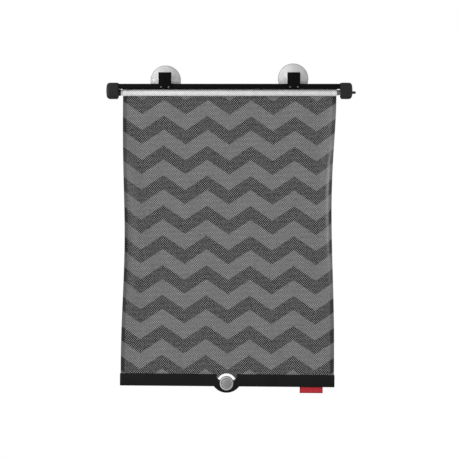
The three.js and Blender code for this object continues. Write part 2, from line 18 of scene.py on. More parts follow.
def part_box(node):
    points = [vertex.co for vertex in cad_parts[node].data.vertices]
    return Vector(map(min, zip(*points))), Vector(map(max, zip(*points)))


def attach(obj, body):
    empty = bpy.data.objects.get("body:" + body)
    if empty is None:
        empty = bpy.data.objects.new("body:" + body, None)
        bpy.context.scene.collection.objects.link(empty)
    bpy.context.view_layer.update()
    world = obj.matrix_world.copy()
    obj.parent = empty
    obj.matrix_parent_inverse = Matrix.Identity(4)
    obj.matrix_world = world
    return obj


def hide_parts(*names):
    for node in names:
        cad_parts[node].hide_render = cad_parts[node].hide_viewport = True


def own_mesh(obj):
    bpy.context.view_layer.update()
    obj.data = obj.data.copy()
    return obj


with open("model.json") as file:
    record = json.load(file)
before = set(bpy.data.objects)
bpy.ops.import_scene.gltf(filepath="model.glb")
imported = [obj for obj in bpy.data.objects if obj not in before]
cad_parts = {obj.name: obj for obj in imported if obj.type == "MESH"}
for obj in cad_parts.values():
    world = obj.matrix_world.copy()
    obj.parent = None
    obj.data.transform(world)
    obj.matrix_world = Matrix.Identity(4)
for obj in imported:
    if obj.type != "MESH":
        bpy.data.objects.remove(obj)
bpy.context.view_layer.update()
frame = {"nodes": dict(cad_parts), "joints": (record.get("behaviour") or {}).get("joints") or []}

LOG = logging.getLogger("sunshade")
MM = 0.001
FLAT_PLACE = "flat_place"
NOISE_SPAN = (0.3, 0.7)
PHOTO_PIXELS = 458
PIXEL = 1.5 * MM
CENTRE_PIXEL_X = 229.4
CUP_LINE_PIXEL_Y = 79.3

Colour = tuple[float, float, float]
Number = Union[float, "Signal"]


class Side(Enum):
    """The two ends of the shade, as seen from inside the car."""

    LEFT = -1
    RIGHT = 1

    @property
    def word(self) -> str:
        """The side's name in lower case, as the nodes have it."""
        return self.name.lower()


class Ply(Enum):
    """The two faces of the film."""

    PRINTED = "printed_ply"
    WHITE = "white_ply"


class Axis(Enum):
    """The axis that a turned piece is spun about."""

    ALONG_RAIL = "X"
    THROUGH_GLASS = "Y"


def linear(red: int, green: int, blue: int) -> Colour:
    """Turns a colour as a screen shows it into the linear one that a shader takes.

    Args:
        red: Red from 0 to 255.
        green: Green from 0 to 255.
        blue: Blue from 0 to 255.

    Returns:
        The three linear parts, from 0 to 1.
    """
    parts = (value / 255 for value in (red, green, blue))
    return tuple(p / 12.92 if p < 0.04045 else ((p + 0.055) / 1.055) ** 2.4 for p in parts)


def grey(level: int) -> Colour:
    """The linear colour of a screen grey."""
    return linear(level, level, level)


class Signal:
    """One output of a shader node, which Python's operators combine with Math nodes."""

    def __init__(self, painter: "Painter", socket: bpy.types.NodeSocket) -> None:
        """Keeps the painter that owns the node and the node's output.

        Args:
            painter: The material's painter.
            socket: The output socket.
        """
        self.painter = painter
        self.socket = socket

    def math(self, operation: str, *values: Number) -> "Signal":
        """Adds a Math node that takes this value first.

        Args:
            operation: The Math node's operation.
            values: The node's other values.

        Returns:
            The node's result.
        """
        sockets = dict(enumerate((self, *values)))
        return self.painter.node("ShaderNodeMath", {"operation": operation}, sockets)

    def _reflected(self, operation: str, first: float) -> "Signal":
        """Adds a Math node that takes a plain number first and this value second."""
        return self.painter.node("ShaderNodeMath", {"operation": operation}, {0: first, 1: self})

    def __add__(self, other: Number) -> "Signal":
        """This value plus another."""
        return self.math("ADD", other)

    __radd__ = __add__

    def __sub__(self, other: Number) -> "Signal":
        """This value less another."""
        return self.math("SUBTRACT", other)

    def __rsub__(self, other: float) -> "Signal":
        """A number less this value."""
        return self._reflected("SUBTRACT", other)

    def __mul__(self, other: Number) -> "Signal":
        """This value times another."""
        return self.math("MULTIPLY", other)

    __rmul__ = __mul__

    def __truediv__(self, other: Number) -> "Signal":
        """This value divided by another."""
        return self.math("DIVIDE", other)

    def __gt__(self, other: Number) -> "Signal":
        """One where this value is the greater, else zero."""
        return self.math("GREATER_THAN", other)

    def __abs__(self) -> "Signal":
        """This value without its sign."""
        return self.math("ABSOLUTE")

    def fraction(self) -> "Signal":
        """What is left of this value above the whole number below it."""
        return self.math("FRACT")

    def ramp(self, low: float, high: float, start: float = 0.0, end: float = 1.0) -> "Signal":
        """Runs from start to end as this value runs from low to high, and stays there beyond.

        Args:
            low: The value where the ramp begins.
            high: The value where it ends.
            start: The result at low.
            end: The result at high.

        Returns:
            The ramp's result.
        """
        sockets = {0: self, 1: low, 2: high, 3: start, 4: end}
        return self.painter.node("ShaderNodeMapRange", {"clamp": True}, sockets)

    def spread(self, start: float, end: float) -> "Signal":
        """Runs from start to end over the part of a noise's range where most of it lies.

        Args:
            start: The result in the noise's hollows.
            end: The result on its peaks.

        Returns:
            The ramp's result.
        """
        return self.ramp(*NOISE_SPAN, start, end)

    def wave(self, length: float) -> "Signal":
        """A sine wave of a given length along this value."""
        return (self * (2 * math.pi / length)).math("SINE")

    def hypotenuse(self, other: "Signal") -> "Signal":
        """The distance that this value and another, at right angles to it, make together."""
        return (self.math("POWER", 2.0) + other.math("POWER", 2.0)).math("SQRT")


class Painter:
    """Makes the node tree of one material."""

    def __init__(self, name: str) -> None:
        """Starts an empty material.

        Args:
            name: The material's name.
        """
        self.material = bpy.data.materials.new(name)
        self.material.use_nodes = True
        self.tree = self.material.node_tree
        self.tree.nodes.clear()

    def node(
        self, kind: str, settings: dict | None = None, sockets: dict | None = None, output: int | str = 0
    ) -> Signal:
        """Adds a node.

        Args:
            kind: The node's type.
            settings: Values of the node's own settings, which are set first.
            sockets: Numbers, colours or signals for its inputs, by name or by place.
            output: The output that is wanted, by name or by place.

        Returns:
            That output.
        """
        made = self.tree.nodes.new(kind)
        for key, value in (settings or {}).items():
            setattr(made, key, value)
        for key, value in (sockets or {}).items():
            if isinstance(value, Signal):
                self.tree.links.new(value.socket, made.inputs[key])
            else:
                made.inputs[key].default_value = value
        return Signal(self, made.outputs[output])

    def place(self) -> Signal:
        """The point's place in the shade's own frame."""
        return self.node("ShaderNodeTexCoord", output="Object")

    def flat_place(self) -> Signal:
        """The point's place on the flat film."""
        return self.node("ShaderNodeAttribute", {"attribute_name": FLAT_PLACE}, output="Vector")

    def split(self, vector: Signal) -> tuple[Signal, Signal, Signal]:
        """The three parts of a vector."""
        parts = self.node("ShaderNodeSeparateXYZ", sockets={0: vector})
        outputs = parts.socket.node.outputs
        return tuple(Signal(self, outputs[i]) for i in range(3))

    def noise(
        self, where: Signal, size: float, detail: float = 2.0, stretch: Sequence[float] = (1, 1, 1)
    ) -> Signal:
        """Cloudy noise.

        Args:
            where: The place that the noise is read at.
            size: The size of its clouds, in metres.
            detail: How many finer layers it has.
            stretch: How much denser it is along each axis.

        Returns:
            The noise, from 0 to 1.
        """
        scaled = self.node("ShaderNodeVectorMath", {"operation": "MULTIPLY"}, {0: where, 1: tuple(stretch)})
        sockets = {"Vector": scaled, "Scale": 1 / size, "Detail": detail}
        return self.node("ShaderNodeTexNoise", sockets=sockets)

    def blend(self, mask: Number, low: Union[Colour, Signal], high: Union[Colour, Signal]) -> Signal:
        """Mixes two colours.

        Args:
            mask: How much of the second colour shows, from 0 to 1.
            low: The first colour.
            high: The second colour.

        Returns:
            The mixed colour.
        """
        pair = [c if isinstance(c, Signal) else (*c, 1.0) for c in (low, high)]
        sockets = {0: mask, 6: pair[0], 7: pair[1]}
        return self.node("ShaderNodeMix", {"data_type": "RGBA"}, sockets, output=2)

    def shaded(self, colour: Union[Colour, Signal], amount: Signal) -> Signal:
        """A colour made lighter or darker, where amount is 1 for no change."""
        dark = (0.0, 0.0, 0.0)
        return self.blend(amount * 0.5, dark, self.double(colour))

    def double(self, colour: Union[Colour, Signal]) -> Union[Colour, Signal]:
        """Twice a colour's strength."""
        if isinstance(colour, Signal):
            return self.node("ShaderNodeVectorMath", {"operation": "SCALE"}, {0: colour, "Scale": 2.0})
        return tuple(2 * part for part in colour)

    def bump(self, height: Signal, depth: float) -> Signal:
        """Turns a height from 0 to 1 into a normal.

        Args:
            height: The height.
            depth: How deep one unit of height is, in metres.

        Returns:
            The normal.
        """
        return self.node("ShaderNodeBump", sockets={"Strength": 1.0, "Distance": depth, "Height": height})

    def surface(self, **sockets: object) -> bpy.types.Material:
        """Finishes the material with a Principled shader.

        Args:
            sockets: The shader's inputs, with an underscore for each space.

        Returns:
            The material.
        """
        named = {key.replace("_", " "): value for key, value in sockets.items()}
        base = named.get("Base Color")
        if isinstance(base, tuple) and len(base) == 3:
            named["Base Color"] = (*base, 1.0)
        shader = self.node("ShaderNodeBsdfPrincipled", sockets=named)
        self.node_end(shader)
        return self.material

    def node_end(self, shader: Signal) -> None:
        """Joins a shader to the material's output."""
        end = self.tree.nodes.new("ShaderNodeOutputMaterial")
        self.tree.links.new(shader.socket, end.inputs["Surface"])


@dataclass(frozen=True)
class MouldedFinish:
    """Moulded or extruded plastic with a fine grain and a slightly uneven tone."""

    name: str
    colour: Colour
    roughness: float
    specular: float = 0.3
    grain: float = 0.35 * MM
    grain_depth: float = 0.012 * MM
    clouds: float = 14 * MM
    unevenness: float = 0.25

    def material(self) -> bpy.types.Material:
        """The plastic's material."""
        painter = Painter(self.name)
        place = painter.place()
        clouds = painter.noise(place, self.clouds)
        grain = painter.noise(place, self.grain, detail=3)
        tone = clouds.spread(1 - self.unevenness, 1 + self.unevenness)
        return painter.surface(
            Base_Color=painter.shaded(self.colour, tone),
            Roughness=clouds.spread(self.roughness - 0.06, self.roughness + 0.06),
            Specular_IOR_Level=self.specular,
            Normal=painter.bump(grain, self.grain_depth),
        )


@dataclass(frozen=True)
class MetalFinish:
    """Drawn or plated metal with fine lines along the rail."""

    name: str
    colour: Colour
    roughness: float
    lines: float = 0.12 * MM

    def material(self) -> bpy.types.Material:
        """The metal's material."""
        painter = Painter(self.name)
        place = painter.place()
        lines = painter.noise(place, self.lines, stretch=(0.02, 1, 1))
        return painter.surface(
            Base_Color=painter.shaded(self.colour, lines.spread(0.9, 1.05)),
            Roughness=lines.spread(self.roughness - 0.07, self.roughness + 0.07),
            Metallic=1.0,
            Normal=painter.bump(lines, 0.01 * MM),
        )


@dataclass(frozen=True)
class RubberFinish:
    """Dull moulded rubber."""

    name: str
    colour: Colour

    def material(self) -> bpy.types.Material:
        """The rubber's material."""
        painter = Painter(self.name)
        grain = painter.noise(painter.place(), 0.2 * MM, detail=4)
        return painter.surface(
            Base_Color=painter.shaded(self.colour, grain.spread(0.8, 1.2)),
            Roughness=0.85,
            Specular_IOR_Level=0.2,
            Normal=painter.bump(grain, 0.02 * MM),
        )


@dataclass(frozen=True)
class ClearVinylFinish:
    """Clear soft vinyl, milky in its thick parts, with rings from the lathe that cut its mould, and painted
    shade: darker rings, a dark line by the rim, a dark middle and a darker right side.
    """

    name: str
    centre: Vector
    rim: float
    body: Colour
    edge: Colour
    clearness: float
    ring: float = 1.9 * MM
    painted_shade_line_width: float = 0.55 * MM
    core: float = 0.0
    painted_core_reflection_tone: float = 1.0
    painted_right_shade_tone: float = 0.72

    def material(self) -> bpy.types.Material:
        """The vinyl's material, patterned by the distance from the cup's axis, with painted shade darkening
        it to the right.
        """
        painter = Painter(self.name)
        across, _, up = painter.split(painter.place())
        reach = (across - self.centre.x).hypotenuse(up - self.centre.z)
        rings = reach.wave(self.ring)
        milk = painter.noise(painter.place(), 9 * MM)
        # Painted shade: a dark line just inside the rim, standing for the shade at the cups' lip and in the
        # knob's groove.
        from_line = abs(reach - (self.rim - 1.6 * self.painted_shade_line_width))
        line = from_line.ramp(0.3 * self.painted_shade_line_width, self.painted_shade_line_width, 1.0, 0.0)
        # Painted dark reflection: the middle disc is darkened, standing for the dark reflection in the knob's
        # hollow middle.
        middle = reach.ramp(self.core, self.core + 0.5 * MM, self.painted_core_reflection_tone, 1.0)
        # Painted shade: the cup grows darker towards its right side, as if lit from the left.
        shade = (across - self.centre.x).ramp(-0.4 * self.rim, self.rim, 1.05, self.painted_right_shade_tone)
        # The rings shift the colour a little too: painted shade of the lathe rings.
        tone = (milk.spread(0.92, 1.04) + rings * 0.05) * middle * shade
        return painter.surface(
            Base_Color=painter.blend(line * 0.7, painter.shaded(self.body, tone), self.edge),
            Roughness=milk.spread(0.14, 0.24),
            Specular_IOR_Level=0.5,
            IOR=1.5,
            Transmission_Weight=self.clearness,
            Normal=painter.bump(rings, 0.03 * MM),
        )


@dataclass(frozen=True)
class PrintedFilmFinish:
    """The film's printed face: dark zigzag bands over grey, with the soft gloss of vinyl."""

    name: str = "printed film"
    grey_ink: Colour = grey(88)
    dark_ink: Colour = grey(26)
    period: float = 65.5 * MM
    rise: float = 21.8 * MM
    repeat: float = 44.8 * MM
    dark_band: float = 21 * MM
    first_grey_peak: float = 11.3 * MM
    ink_edge: float = 0.25 * MM

    def material(self) -> bpy.types.Material:
        """The printed face's material, which reads the place on the flat film."""
        painter = Painter(self.name)
        flat = painter.flat_place()
        across, down, _ = painter.split(flat)
        turns = across / self.period
        offset = abs(turns - turns.math("ROUND"))
        zigzag = self.first_grey_peak + self.rise * (1 - offset * 2)
        phase = ((down - zigzag) / self.repeat + 8.0).fraction()
        grey_share = 1 - self.dark_band / self.repeat
        soft = self.ink_edge / self.repeat
        middle = abs(phase - grey_share / 2)
        dark = middle.ramp(grey_share / 2 - soft, grey_share / 2 + soft)
        clouds = painter.noise(flat, 30 * MM, detail=3)
        grain = painter.noise(flat, 0.5 * MM)
        tone = clouds.spread(0.93, 1.07)
        inks = [painter.shaded(ink, tone) for ink in (self.grey_ink, self.dark_ink)]
        return painter.surface(
            Base_Color=painter.blend(dark, *inks),
            Roughness=clouds.spread(0.3, 0.42) - dark * 0.04,
            Specular_IOR_Level=0.3,
            Normal=painter.bump(grain, 0.01 * MM),
        )


@dataclass(frozen=True)
class WhiteFilmFinish:
    """The film's unprinted white back."""

    name: str = "white film back"
    colour: Colour = grey(222)

    def material(self) -> bpy.types.Material:
        """The white face's material."""
        painter = Painter(self.name)
        flat = painter.flat_place()
        clouds = painter.noise(flat, 26 * MM, detail=3)
        return painter.surface(
            Base_Color=painter.shaded(self.colour, clouds.spread(0.96, 1.02)),
            Roughness=clouds.spread(0.38, 0.5),
            Specular_IOR_Level=0.4,
            Normal=painter.bump(painter.noise(flat, 0.6 * MM), 0.01 * MM),
        )


@dataclass(frozen=True)
class WoundFilmFinish:
    """The white back of the film on the roll, with grey dots of painted shade where the holes of its turns
    lie.
    """

    axis_y: float
    axis_z: float
    left: float
    right: float
    name: str = "wound film"
    colour: Colour = grey(226)
    # The grey of the painted shade seen in the holes.
    dot: Colour = grey(104)
    pitch: float = 3.12 * MM
    rows_round: int = 18
    dot_radius: float = 0.62 * MM
    roll_radius: float = 5.2 * MM
    bare_end: float = 6.5 * MM

    def material(self) -> bpy.types.Material:
        """The roll's material, whose painted-shade dots follow the roll's own turning."""
        painter = Painter(self.name)
        along, back, up = painter.split(painter.place())
        angle = (up - self.axis_z).math("ARCTAN2", back - self.axis_y)
        turn = (angle / (2 * math.pi) + 1.0) * self.rows_round
        row = turn.math("ROUND")
        shift = (row * 0.5).fraction()
        column = along / self.pitch + shift + 200.0
        sideways = (column - column.math("ROUND")) * self.pitch
        row_height = 2 * math.pi * self.roll_radius / self.rows_round
        upways = (turn - row) * row_height
        reach = sideways.hypotenuse(upways)
        dots = reach.ramp(0.8 * self.dot_radius, 1.1 * self.dot_radius, 1.0, 0.0)
        past_left = along > self.left + self.bare_end
        past_right = along > self.right - self.bare_end
        inside = past_left * (1 - past_right)
        # The painted shade in the holes is stronger in some clouds and weaker in others.
        depth = painter.noise(painter.place(), 11 * MM, detail=2)
        clouds = depth.spread(0.35, 1.0)
        mask = dots * inside * clouds
        return painter.surface(
            Base_Color=painter.blend(mask, self.colour, self.dot),
            Roughness=depth.spread(0.36, 0.46),
            Specular_IOR_Level=0.4,
            Normal=painter.bump(1 - dots * inside, 0.05 * MM),
        )


@dataclass(frozen=True)
class RibbonFinish:
    """Woven ribbon with a fine rib across it and a woven border, with painted shade of the weave in its
    colour.
    """

    low: Vector
    high: Vector
    name: str = "red ribbon"
    colour: Colour = linear(176, 34, 46)
    border: Colour = linear(128, 18, 28)
    thread: float = 0.42 * MM
    border_width: float = 1.3 * MM

    def material(self) -> bpy.types.Material:
        """The ribbon's material."""
        painter = Painter(self.name)
        along, _, up = painter.split(painter.place())
        warp = along.wave(self.thread)
        weft = up.wave(self.thread)
        weave = warp * weft
        edge = (along - self.low.x).math("MINIMUM", self.high.x - along)
        rim = edge.math("MINIMUM", up - self.low.z).ramp(0.6 * self.border_width, self.border_width, 1.0, 0.0)
        fuzz = painter.noise(painter.place(), 0.6 * MM, detail=3)
        # Painted shade: the colour lightens and darkens with the weave's relief.
        tone = fuzz.spread(0.85, 1.1) + weave * 0.1
        return painter.surface(
            Base_Color=painter.shaded(painter.blend(rim, self.colour, self.border), tone),
            Roughness=0.8,
            Specular_IOR_Level=0.2,
            Sheen_Weight=0.25,
            Normal=painter.bump(weave, 0.05 * MM),
        )


@dataclass(frozen=True)
class HemFinish:
    """The hem bar's black vinyl, with faint upright ribs and a pressed line along its foot, both with painted
    shade in its colour.
    """

    foot: float
    lean: float
    name: str = "hem bar vinyl"
    colour: Colour = grey(14)
    rib: float = 2.6 * MM
    line: float = 1.1 * MM

    def material(self) -> bpy.types.Material:
        """The bar's material."""
        painter = Painter(self.name)
        place = painter.place()
        along, _, up = painter.split(place)
        ribs = along.wave(self.rib)
        height = up + along * self.lean - self.foot
        pressed = abs(height - self.line).ramp(0.0, 0.6 * self.line, 1.0, 0.0)
        clouds = painter.noise(place, 22 * MM, detail=3)
        grain = painter.noise(place, 0.3 * MM, detail=3)
        # Painted shade: the colour darkens in the pressed line and lightens and darkens across the ribs.
        tone = clouds.spread(0.75, 1.25) + ribs * 0.08 - pressed * 0.45
        return painter.surface(
            Base_Color=painter.shaded(self.colour, tone),
            Roughness=clouds.spread(0.42, 0.54),
            Specular_IOR_Level=0.1,
            Normal=painter.bump(grain + ribs * 0.6 - pressed * 3.0, 0.012 * MM),
        )


def piece_of(
    mesh: bmesh.types.BMesh, name: str, material: bpy.types.Material, crease: float = 32.0
) -> bpy.types.Object:
    """Turns a finished bmesh into an object at the origin.

    Args:
        mesh: The bmesh, which is freed.
        name: The piece's name.
        material: Its material.
        crease: The angle in degrees above which an edge stays sharp.

    Returns:
        The object.
    """
    data = bpy.data.meshes.new(name)
    mesh.to_mesh(data)
    mesh.free()
    data.materials.append(material)
    data.shade_smooth()
    data.set_sharp_from_angle(angle=math.radians(crease))
    made = bpy.data.objects.new(name, data)
    bpy.context.scene.collection.objects.link(made)
    return made


def settle(piece: bpy.types.Object, body: str, slot: str, *nodes: str) -> bpy.types.Object:
    """Puts a piece on its body and hides the nodes that it stands for.

    Args:
        piece: The piece.
        body: The body that it rides on.
        slot: Its material slot in the record; not used.
        nodes: The nodes that it replaces.

    Returns:
        The piece.
    """
    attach(piece, body)
    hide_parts(*nodes)
    faces = len(piece.data.polygons)
    LOG.info("%s: %d faces, rides on %s, stands for %s", piece.name, faces, body, ", ".join(nodes))
    return piece


def turned(
    outline: Sequence[tuple[float, float]], axis: Axis, centre: Vector, steps: int = 64
) -> bmesh.types.BMesh:
    """Spins an outline into a closed solid.

    Args:
        outline: Points of (place along the axis, radius), from axis to axis or closed on itself.
        axis: The axis that it is spun about.
        centre: A point on that axis, which the outline's places are counted from.
        steps: How many steps a full turn has.

    Returns:
        The solid.
    """
    mesh = bmesh.new()
    ring = [mesh.verts.new((along, radius, 0.0)) for along, radius in outline]
    edges = [mesh.edges.new(pair) for pair in zip(ring, ring[1:])]
    turn = {"angle": 2 * math.pi, "steps": steps, "use_merge": True, "use_duplicate": False}
    bmesh.ops.spin(mesh, geom=ring + edges, cent=(0, 0, 0), axis=(1, 0, 0), dvec=(0, 0, 0), **turn)
    bmesh.ops.remove_doubles(mesh, verts=mesh.verts, dist=0.002 * MM)
    bmesh.ops.dissolve_degenerate(mesh, edges=mesh.edges, dist=0.001 * MM)
    if axis is Axis.THROUGH_GLASS:
        bmesh.ops.rotate(mesh, verts=mesh.verts, cent=(0, 0, 0), matrix=Matrix.Rotation(math.pi / 2, 3, "Z"))
    bmesh.ops.translate(mesh, verts=mesh.verts, vec=centre)
    bmesh.ops.recalc_face_normals(mesh, faces=mesh.faces)
    return mesh


def rounded(
    mesh: bmesh.types.BMesh, edges: Sequence[bmesh.types.BMEdge], radius: float, segments: int
) -> None:
    """Rounds some edges of a mesh.

    Args:
        mesh: The mesh.
        edges: The edges.
        radius: The width of the rounding.
        segments: How many faces it has across.
    """
    bmesh.ops.bevel(
        mesh, geom=edges, offset=radius, offset_type="OFFSET", segments=segments,
        profile=0.5, affect="EDGES", clamp_overlap=True, material=-1,
    )


def pulled_along(mesh: bmesh.types.BMesh, edges: Sequence[bmesh.types.BMEdge], width: float) -> None:
    """Pulls a chain of edges along the rail into a skin that faces outwards.

    Args:
        mesh: The mesh.
        edges: The chain of edges.
        width: The skin's width.
    """
    made = bmesh.ops.extrude_edge_only(mesh, edges=edges)["geom"]
    moved = [v for v in made if isinstance(v, bmesh.types.BMVert)]
    bmesh.ops.translate(mesh, verts=moved, vec=(width, 0, 0))
    bmesh.ops.recalc_face_normals(mesh, faces=mesh.faces)
    front = min(mesh.faces, key=lambda face: face.calc_center_median().y)
    if front.normal.y > 0:
        bmesh.ops.reverse_faces(mesh, faces=mesh.faces)


def sharp_edges(mesh: bmesh.types.BMesh, degrees: float) -> list[bmesh.types.BMEdge]:
    """The edges whose two faces meet at more than an angle."""
    limit = math.radians(degrees)
    return [e for e in mesh.edges if len(e.link_faces) == 2 and e.calc_face_angle(0.0) > limit]


def soften(mesh: bmesh.types.BMesh, radius: float, segments: int = 3, degrees: float = 30.0) -> None:
    """Rounds a mesh's sharp edges.

    Args:
        mesh: The mesh.
        radius: The width of the rounding.
        segments: How many faces it has across.
        degrees: The angle above which an edge is rounded.
    """
    rounded(mesh, sharp_edges(mesh, degrees), radius, segments)


def block(low: Vector, high: Vector) -> bmesh.types.BMesh:
    """A plain block between two corners."""
    mesh = bmesh.new()
    bmesh.ops.create_cube(mesh, size=1.0)
    bmesh.ops.scale(mesh, verts=mesh.verts, vec=high - low)
    bmesh.ops.translate(mesh, verts=mesh.verts, vec=(low + high) / 2)
    return mesh


def join(target: bmesh.types.BMesh, *others: bmesh.types.BMesh) -> None:
    """Adds other meshes to a mesh, and frees them."""
    for other in others:
        spare = bpy.data.meshes.new("spare")
        other.to_mesh(spare)
        other.free()
        target.from_mesh(spare)
        bpy.data.meshes.remove(spare)


def faces_towards(mesh: bmesh.types.BMesh, direction: Vector) -> list[bmesh.types.BMFace]:
    """The faces whose normal points along a direction."""
    mesh.normal_update()
    return [f for f in mesh.faces if f.normal.dot(direction) > 0.9]


def cut_away(mesh: bmesh.types.BMesh, point: Vector, outward: Vector) -> None:
    """Cuts a mesh along a plane and removes what lies on the outward side."""
    geom = [*mesh.verts, *mesh.edges, *mesh.faces]
    bmesh.ops.bisect_plane(mesh, geom=geom, plane_co=point, plane_no=outward, clear_outer=True)


def walled(mesh: bmesh.types.BMesh, wall: float) -> None:
    """Gives an open skin, whose faces point outwards, a wall on its inside."""
    bmesh.ops.solidify(mesh, geom=mesh.faces[:], thickness=wall)


def arc(
    centre: tuple[float, float], radius: float, start: float, end: float, steps: int
) -> list[tuple[float, float]]:
    """Points on an arc.

    Args:
        centre: The arc's centre.
        radius: Its radius.
        start: The angle of its first point, in degrees.
        end: The angle of its last point, in degrees.
        steps: How many steps it has.

    Returns:
        The points, both ends included.
    """
    angles = [math.radians(start + (end - start) * i / steps) for i in range(steps + 1)]
    return [(centre[0] + radius * math.cos(a), centre[1] + radius * math.sin(a)) for a in angles]


@dataclass
class Datum:
    """The places that every sub-assembly is built from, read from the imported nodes."""

    roll_low: Vector = field(default_factory=lambda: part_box("film_roll")[0])
    roll_high: Vector = field(default_factory=lambda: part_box("film_roll")[1])
    film_back: float = field(default_factory=lambda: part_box("shade_film")[1].y)
    lean: float = math.radians(0.5)

    @property
    def axis(self) -> Vector:
        """The middle of the roller's axis."""
        return (self.roll_low + self.roll_high) / 2

    @property
    def line(self) -> Vector:
        """The point of the roller's axis that lies at X = 0."""
        return Vector((0, self.axis.y, self.axis.z))

    @property
    def hang(self) -> Vector:
        """The point on the film's back, level with the roller's axis, that film and bar lean about."""
        return Vector((self.axis.x, self.film_back, self.axis.z))

    def hung(self, point: Vector) -> Vector:
        """Moves a point of the upright film or bar to where it hangs.

        Args:
            point: The point, counted from the hanging point.

        Returns:
            Its place in the frame.
        """
        return self.hang + Matrix.Rotation(self.lean, 3, "Y") @ point


@dataclass
class Housing:
    """The rail with its end caps, the sleeve at the right end and the plugs of the roller."""

    datum: Datum
    corner: float = 5 * MM
    wall: float = 1.4 * MM
    cap_wall: float = 1.3 * MM
    cap_edge: float = 5 * MM
    cap_dome: float = 0.8 * MM
    cap_lip: float = 1.8 * MM
    cap_lip_step: float = 0.35 * MM
    cap_chamfer: float = 1.6 * MM
    web_inset: float = 2.5 * MM
    web_wall: float = 2 * MM
    boss_radius: float = 5 * MM
    boss_reach: float = 3.4 * MM
    rail_plastic: MouldedFinish = MouldedFinish("rail plastic", grey(8), 0.36, 0.04, unevenness=0.1)
    cap_plastic: MouldedFinish = MouldedFinish(
        "cap plastic", grey(22), 0.58, 0.2, grain=0.5 * MM, grain_depth=0.03 * MM
    )
    white_nylon: MouldedFinish = MouldedFinish("white nylon", grey(214), 0.4, 0.4, unevenness=0.05)
    grey_nylon: MouldedFinish = MouldedFinish("grey nylon", grey(118), 0.3, 0.5, unevenness=0.1)

    def build(self) -> None:
        """Builds the housing's pieces."""
        self.rail()
        for side in Side:
            self.cap(side)
        self.plug(Side.LEFT, self.white_nylon, "white_nylon")
        self.plug(Side.RIGHT, self.grey_nylon, "grey_nylon")
        self.sleeve()

    def rail(self) -> None:
        """Builds the rail: an upside-down channel with round upper corners."""
        low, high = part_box("rail")
        mesh = block(low, high)
        open_sides = [f for d in ((0, 0, -1), (1, 0, 0), (-1, 0, 0)) for f in faces_towards(mesh, Vector(d))]
        bmesh.ops.delete(mesh, geom=open_sides, context="FACES")
        rounded(mesh, sharp_edges(mesh, 30), self.corner, 10)
        bmesh.ops.recalc_face_normals(mesh, faces=mesh.faces)
        walled(mesh, self.wall)
        soften(mesh, 0.25 * MM, segments=2, degrees=60)
        made = piece_of(mesh, "rail_channel", self.rail_plastic.material())
        settle(made, "housing", "black_plastic", "rail")

    def cap(self, side: Side) -> None:
        """Builds one end cap: a domed shell, open towards the rail, with a web that carries the roller.

        Args:
            side: The end that it closes.
        """
        node = f"end_cap_{side.word}"
        low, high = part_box(node)
        sign = side.value
        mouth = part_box("end_cap_right")[0].x * sign
        end = (high.x if sign > 0 else low.x) - sign * self.cap_dome
        shell = block(Vector((min(mouth, end), low.y, low.z)), Vector((max(mouth, end), high.y, high.z)))
        bmesh.ops.delete(shell, geom=faces_towards(shell, Vector((-sign, 0, 0))), context="FACES")
        rounded(shell, [e for e in shell.edges if not e.is_boundary], self.cap_edge, 6)
        self.dome(shell, sign, end)
        self.step_mouth(shell, sign, mouth)
        foot = Vector((mouth + sign * self.cap_chamfer, 0, low.z))
        cut_away(shell, foot, Vector((-sign * 2, 0, -1)).normalized())
        bmesh.ops.recalc_face_normals(shell, faces=shell.faces)
        walled(shell, self.cap_wall)
        soften(shell, 0.2 * MM, segments=2, degrees=55)
        join(shell, self.web(side, mouth, low, high))
        if side is Side.LEFT:
            join(shell, self.boss(mouth))
        made = piece_of(shell, f"cap_shell_{side.word}", self.cap_plastic.material())
        settle(made, "housing", "cap_plastic", node)

    def dome(self, shell: bmesh.types.BMesh, sign: int, end: float) -> None:
        """Domes a cap's closed end.

        Args:
            shell: The cap's skin.
            sign: The side, -1 for left and 1 for right.
            end: The end's place along the rail.
        """
        flat = [f for f in faces_towards(shell, Vector((sign, 0, 0))) if f.calc_area() > 20 * MM * MM]
        for share in (0.45, 0.35, 0.2):
            bmesh.ops.inset_region(shell, faces=flat, thickness=2 * MM, use_even_offset=True)
            move = Vector((sign * share * self.cap_dome, 0, 0))
            bmesh.ops.translate(shell, verts=list({v for f in flat for v in f.verts}), vec=move)

    def step_mouth(self, shell: bmesh.types.BMesh, sign: int, mouth: float) -> None:
        """Steps a cap's mouth in a little, which leaves a line round it.

        Args:
            shell: The cap's skin.
            sign: The side, -1 for left and 1 for right.
            mouth: The mouth's place along the rail.
        """
        for reach in (self.cap_lip, self.cap_lip - 0.3 * MM):
            geom = [*shell.verts, *shell.edges, *shell.faces]
            point = (mouth + sign * reach, 0, 0)
            bmesh.ops.bisect_plane(shell, geom=geom, plane_co=point, plane_no=(1, 0, 0))
        edge = mouth + sign * (self.cap_lip - 0.15 * MM)
        rim = [v for v in shell.verts if sign * (edge - v.co.x) > 0]
        low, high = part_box("end_cap_right")
        middle = Vector((0, self.datum.axis.y, (low.z + high.z) / 2))
        shrink = 1 - 2 * self.cap_lip_step / (high.y - low.y)
        space = Matrix.Translation(-middle)
        bmesh.ops.scale(shell, verts=rim, vec=(1, shrink, shrink), space=space)

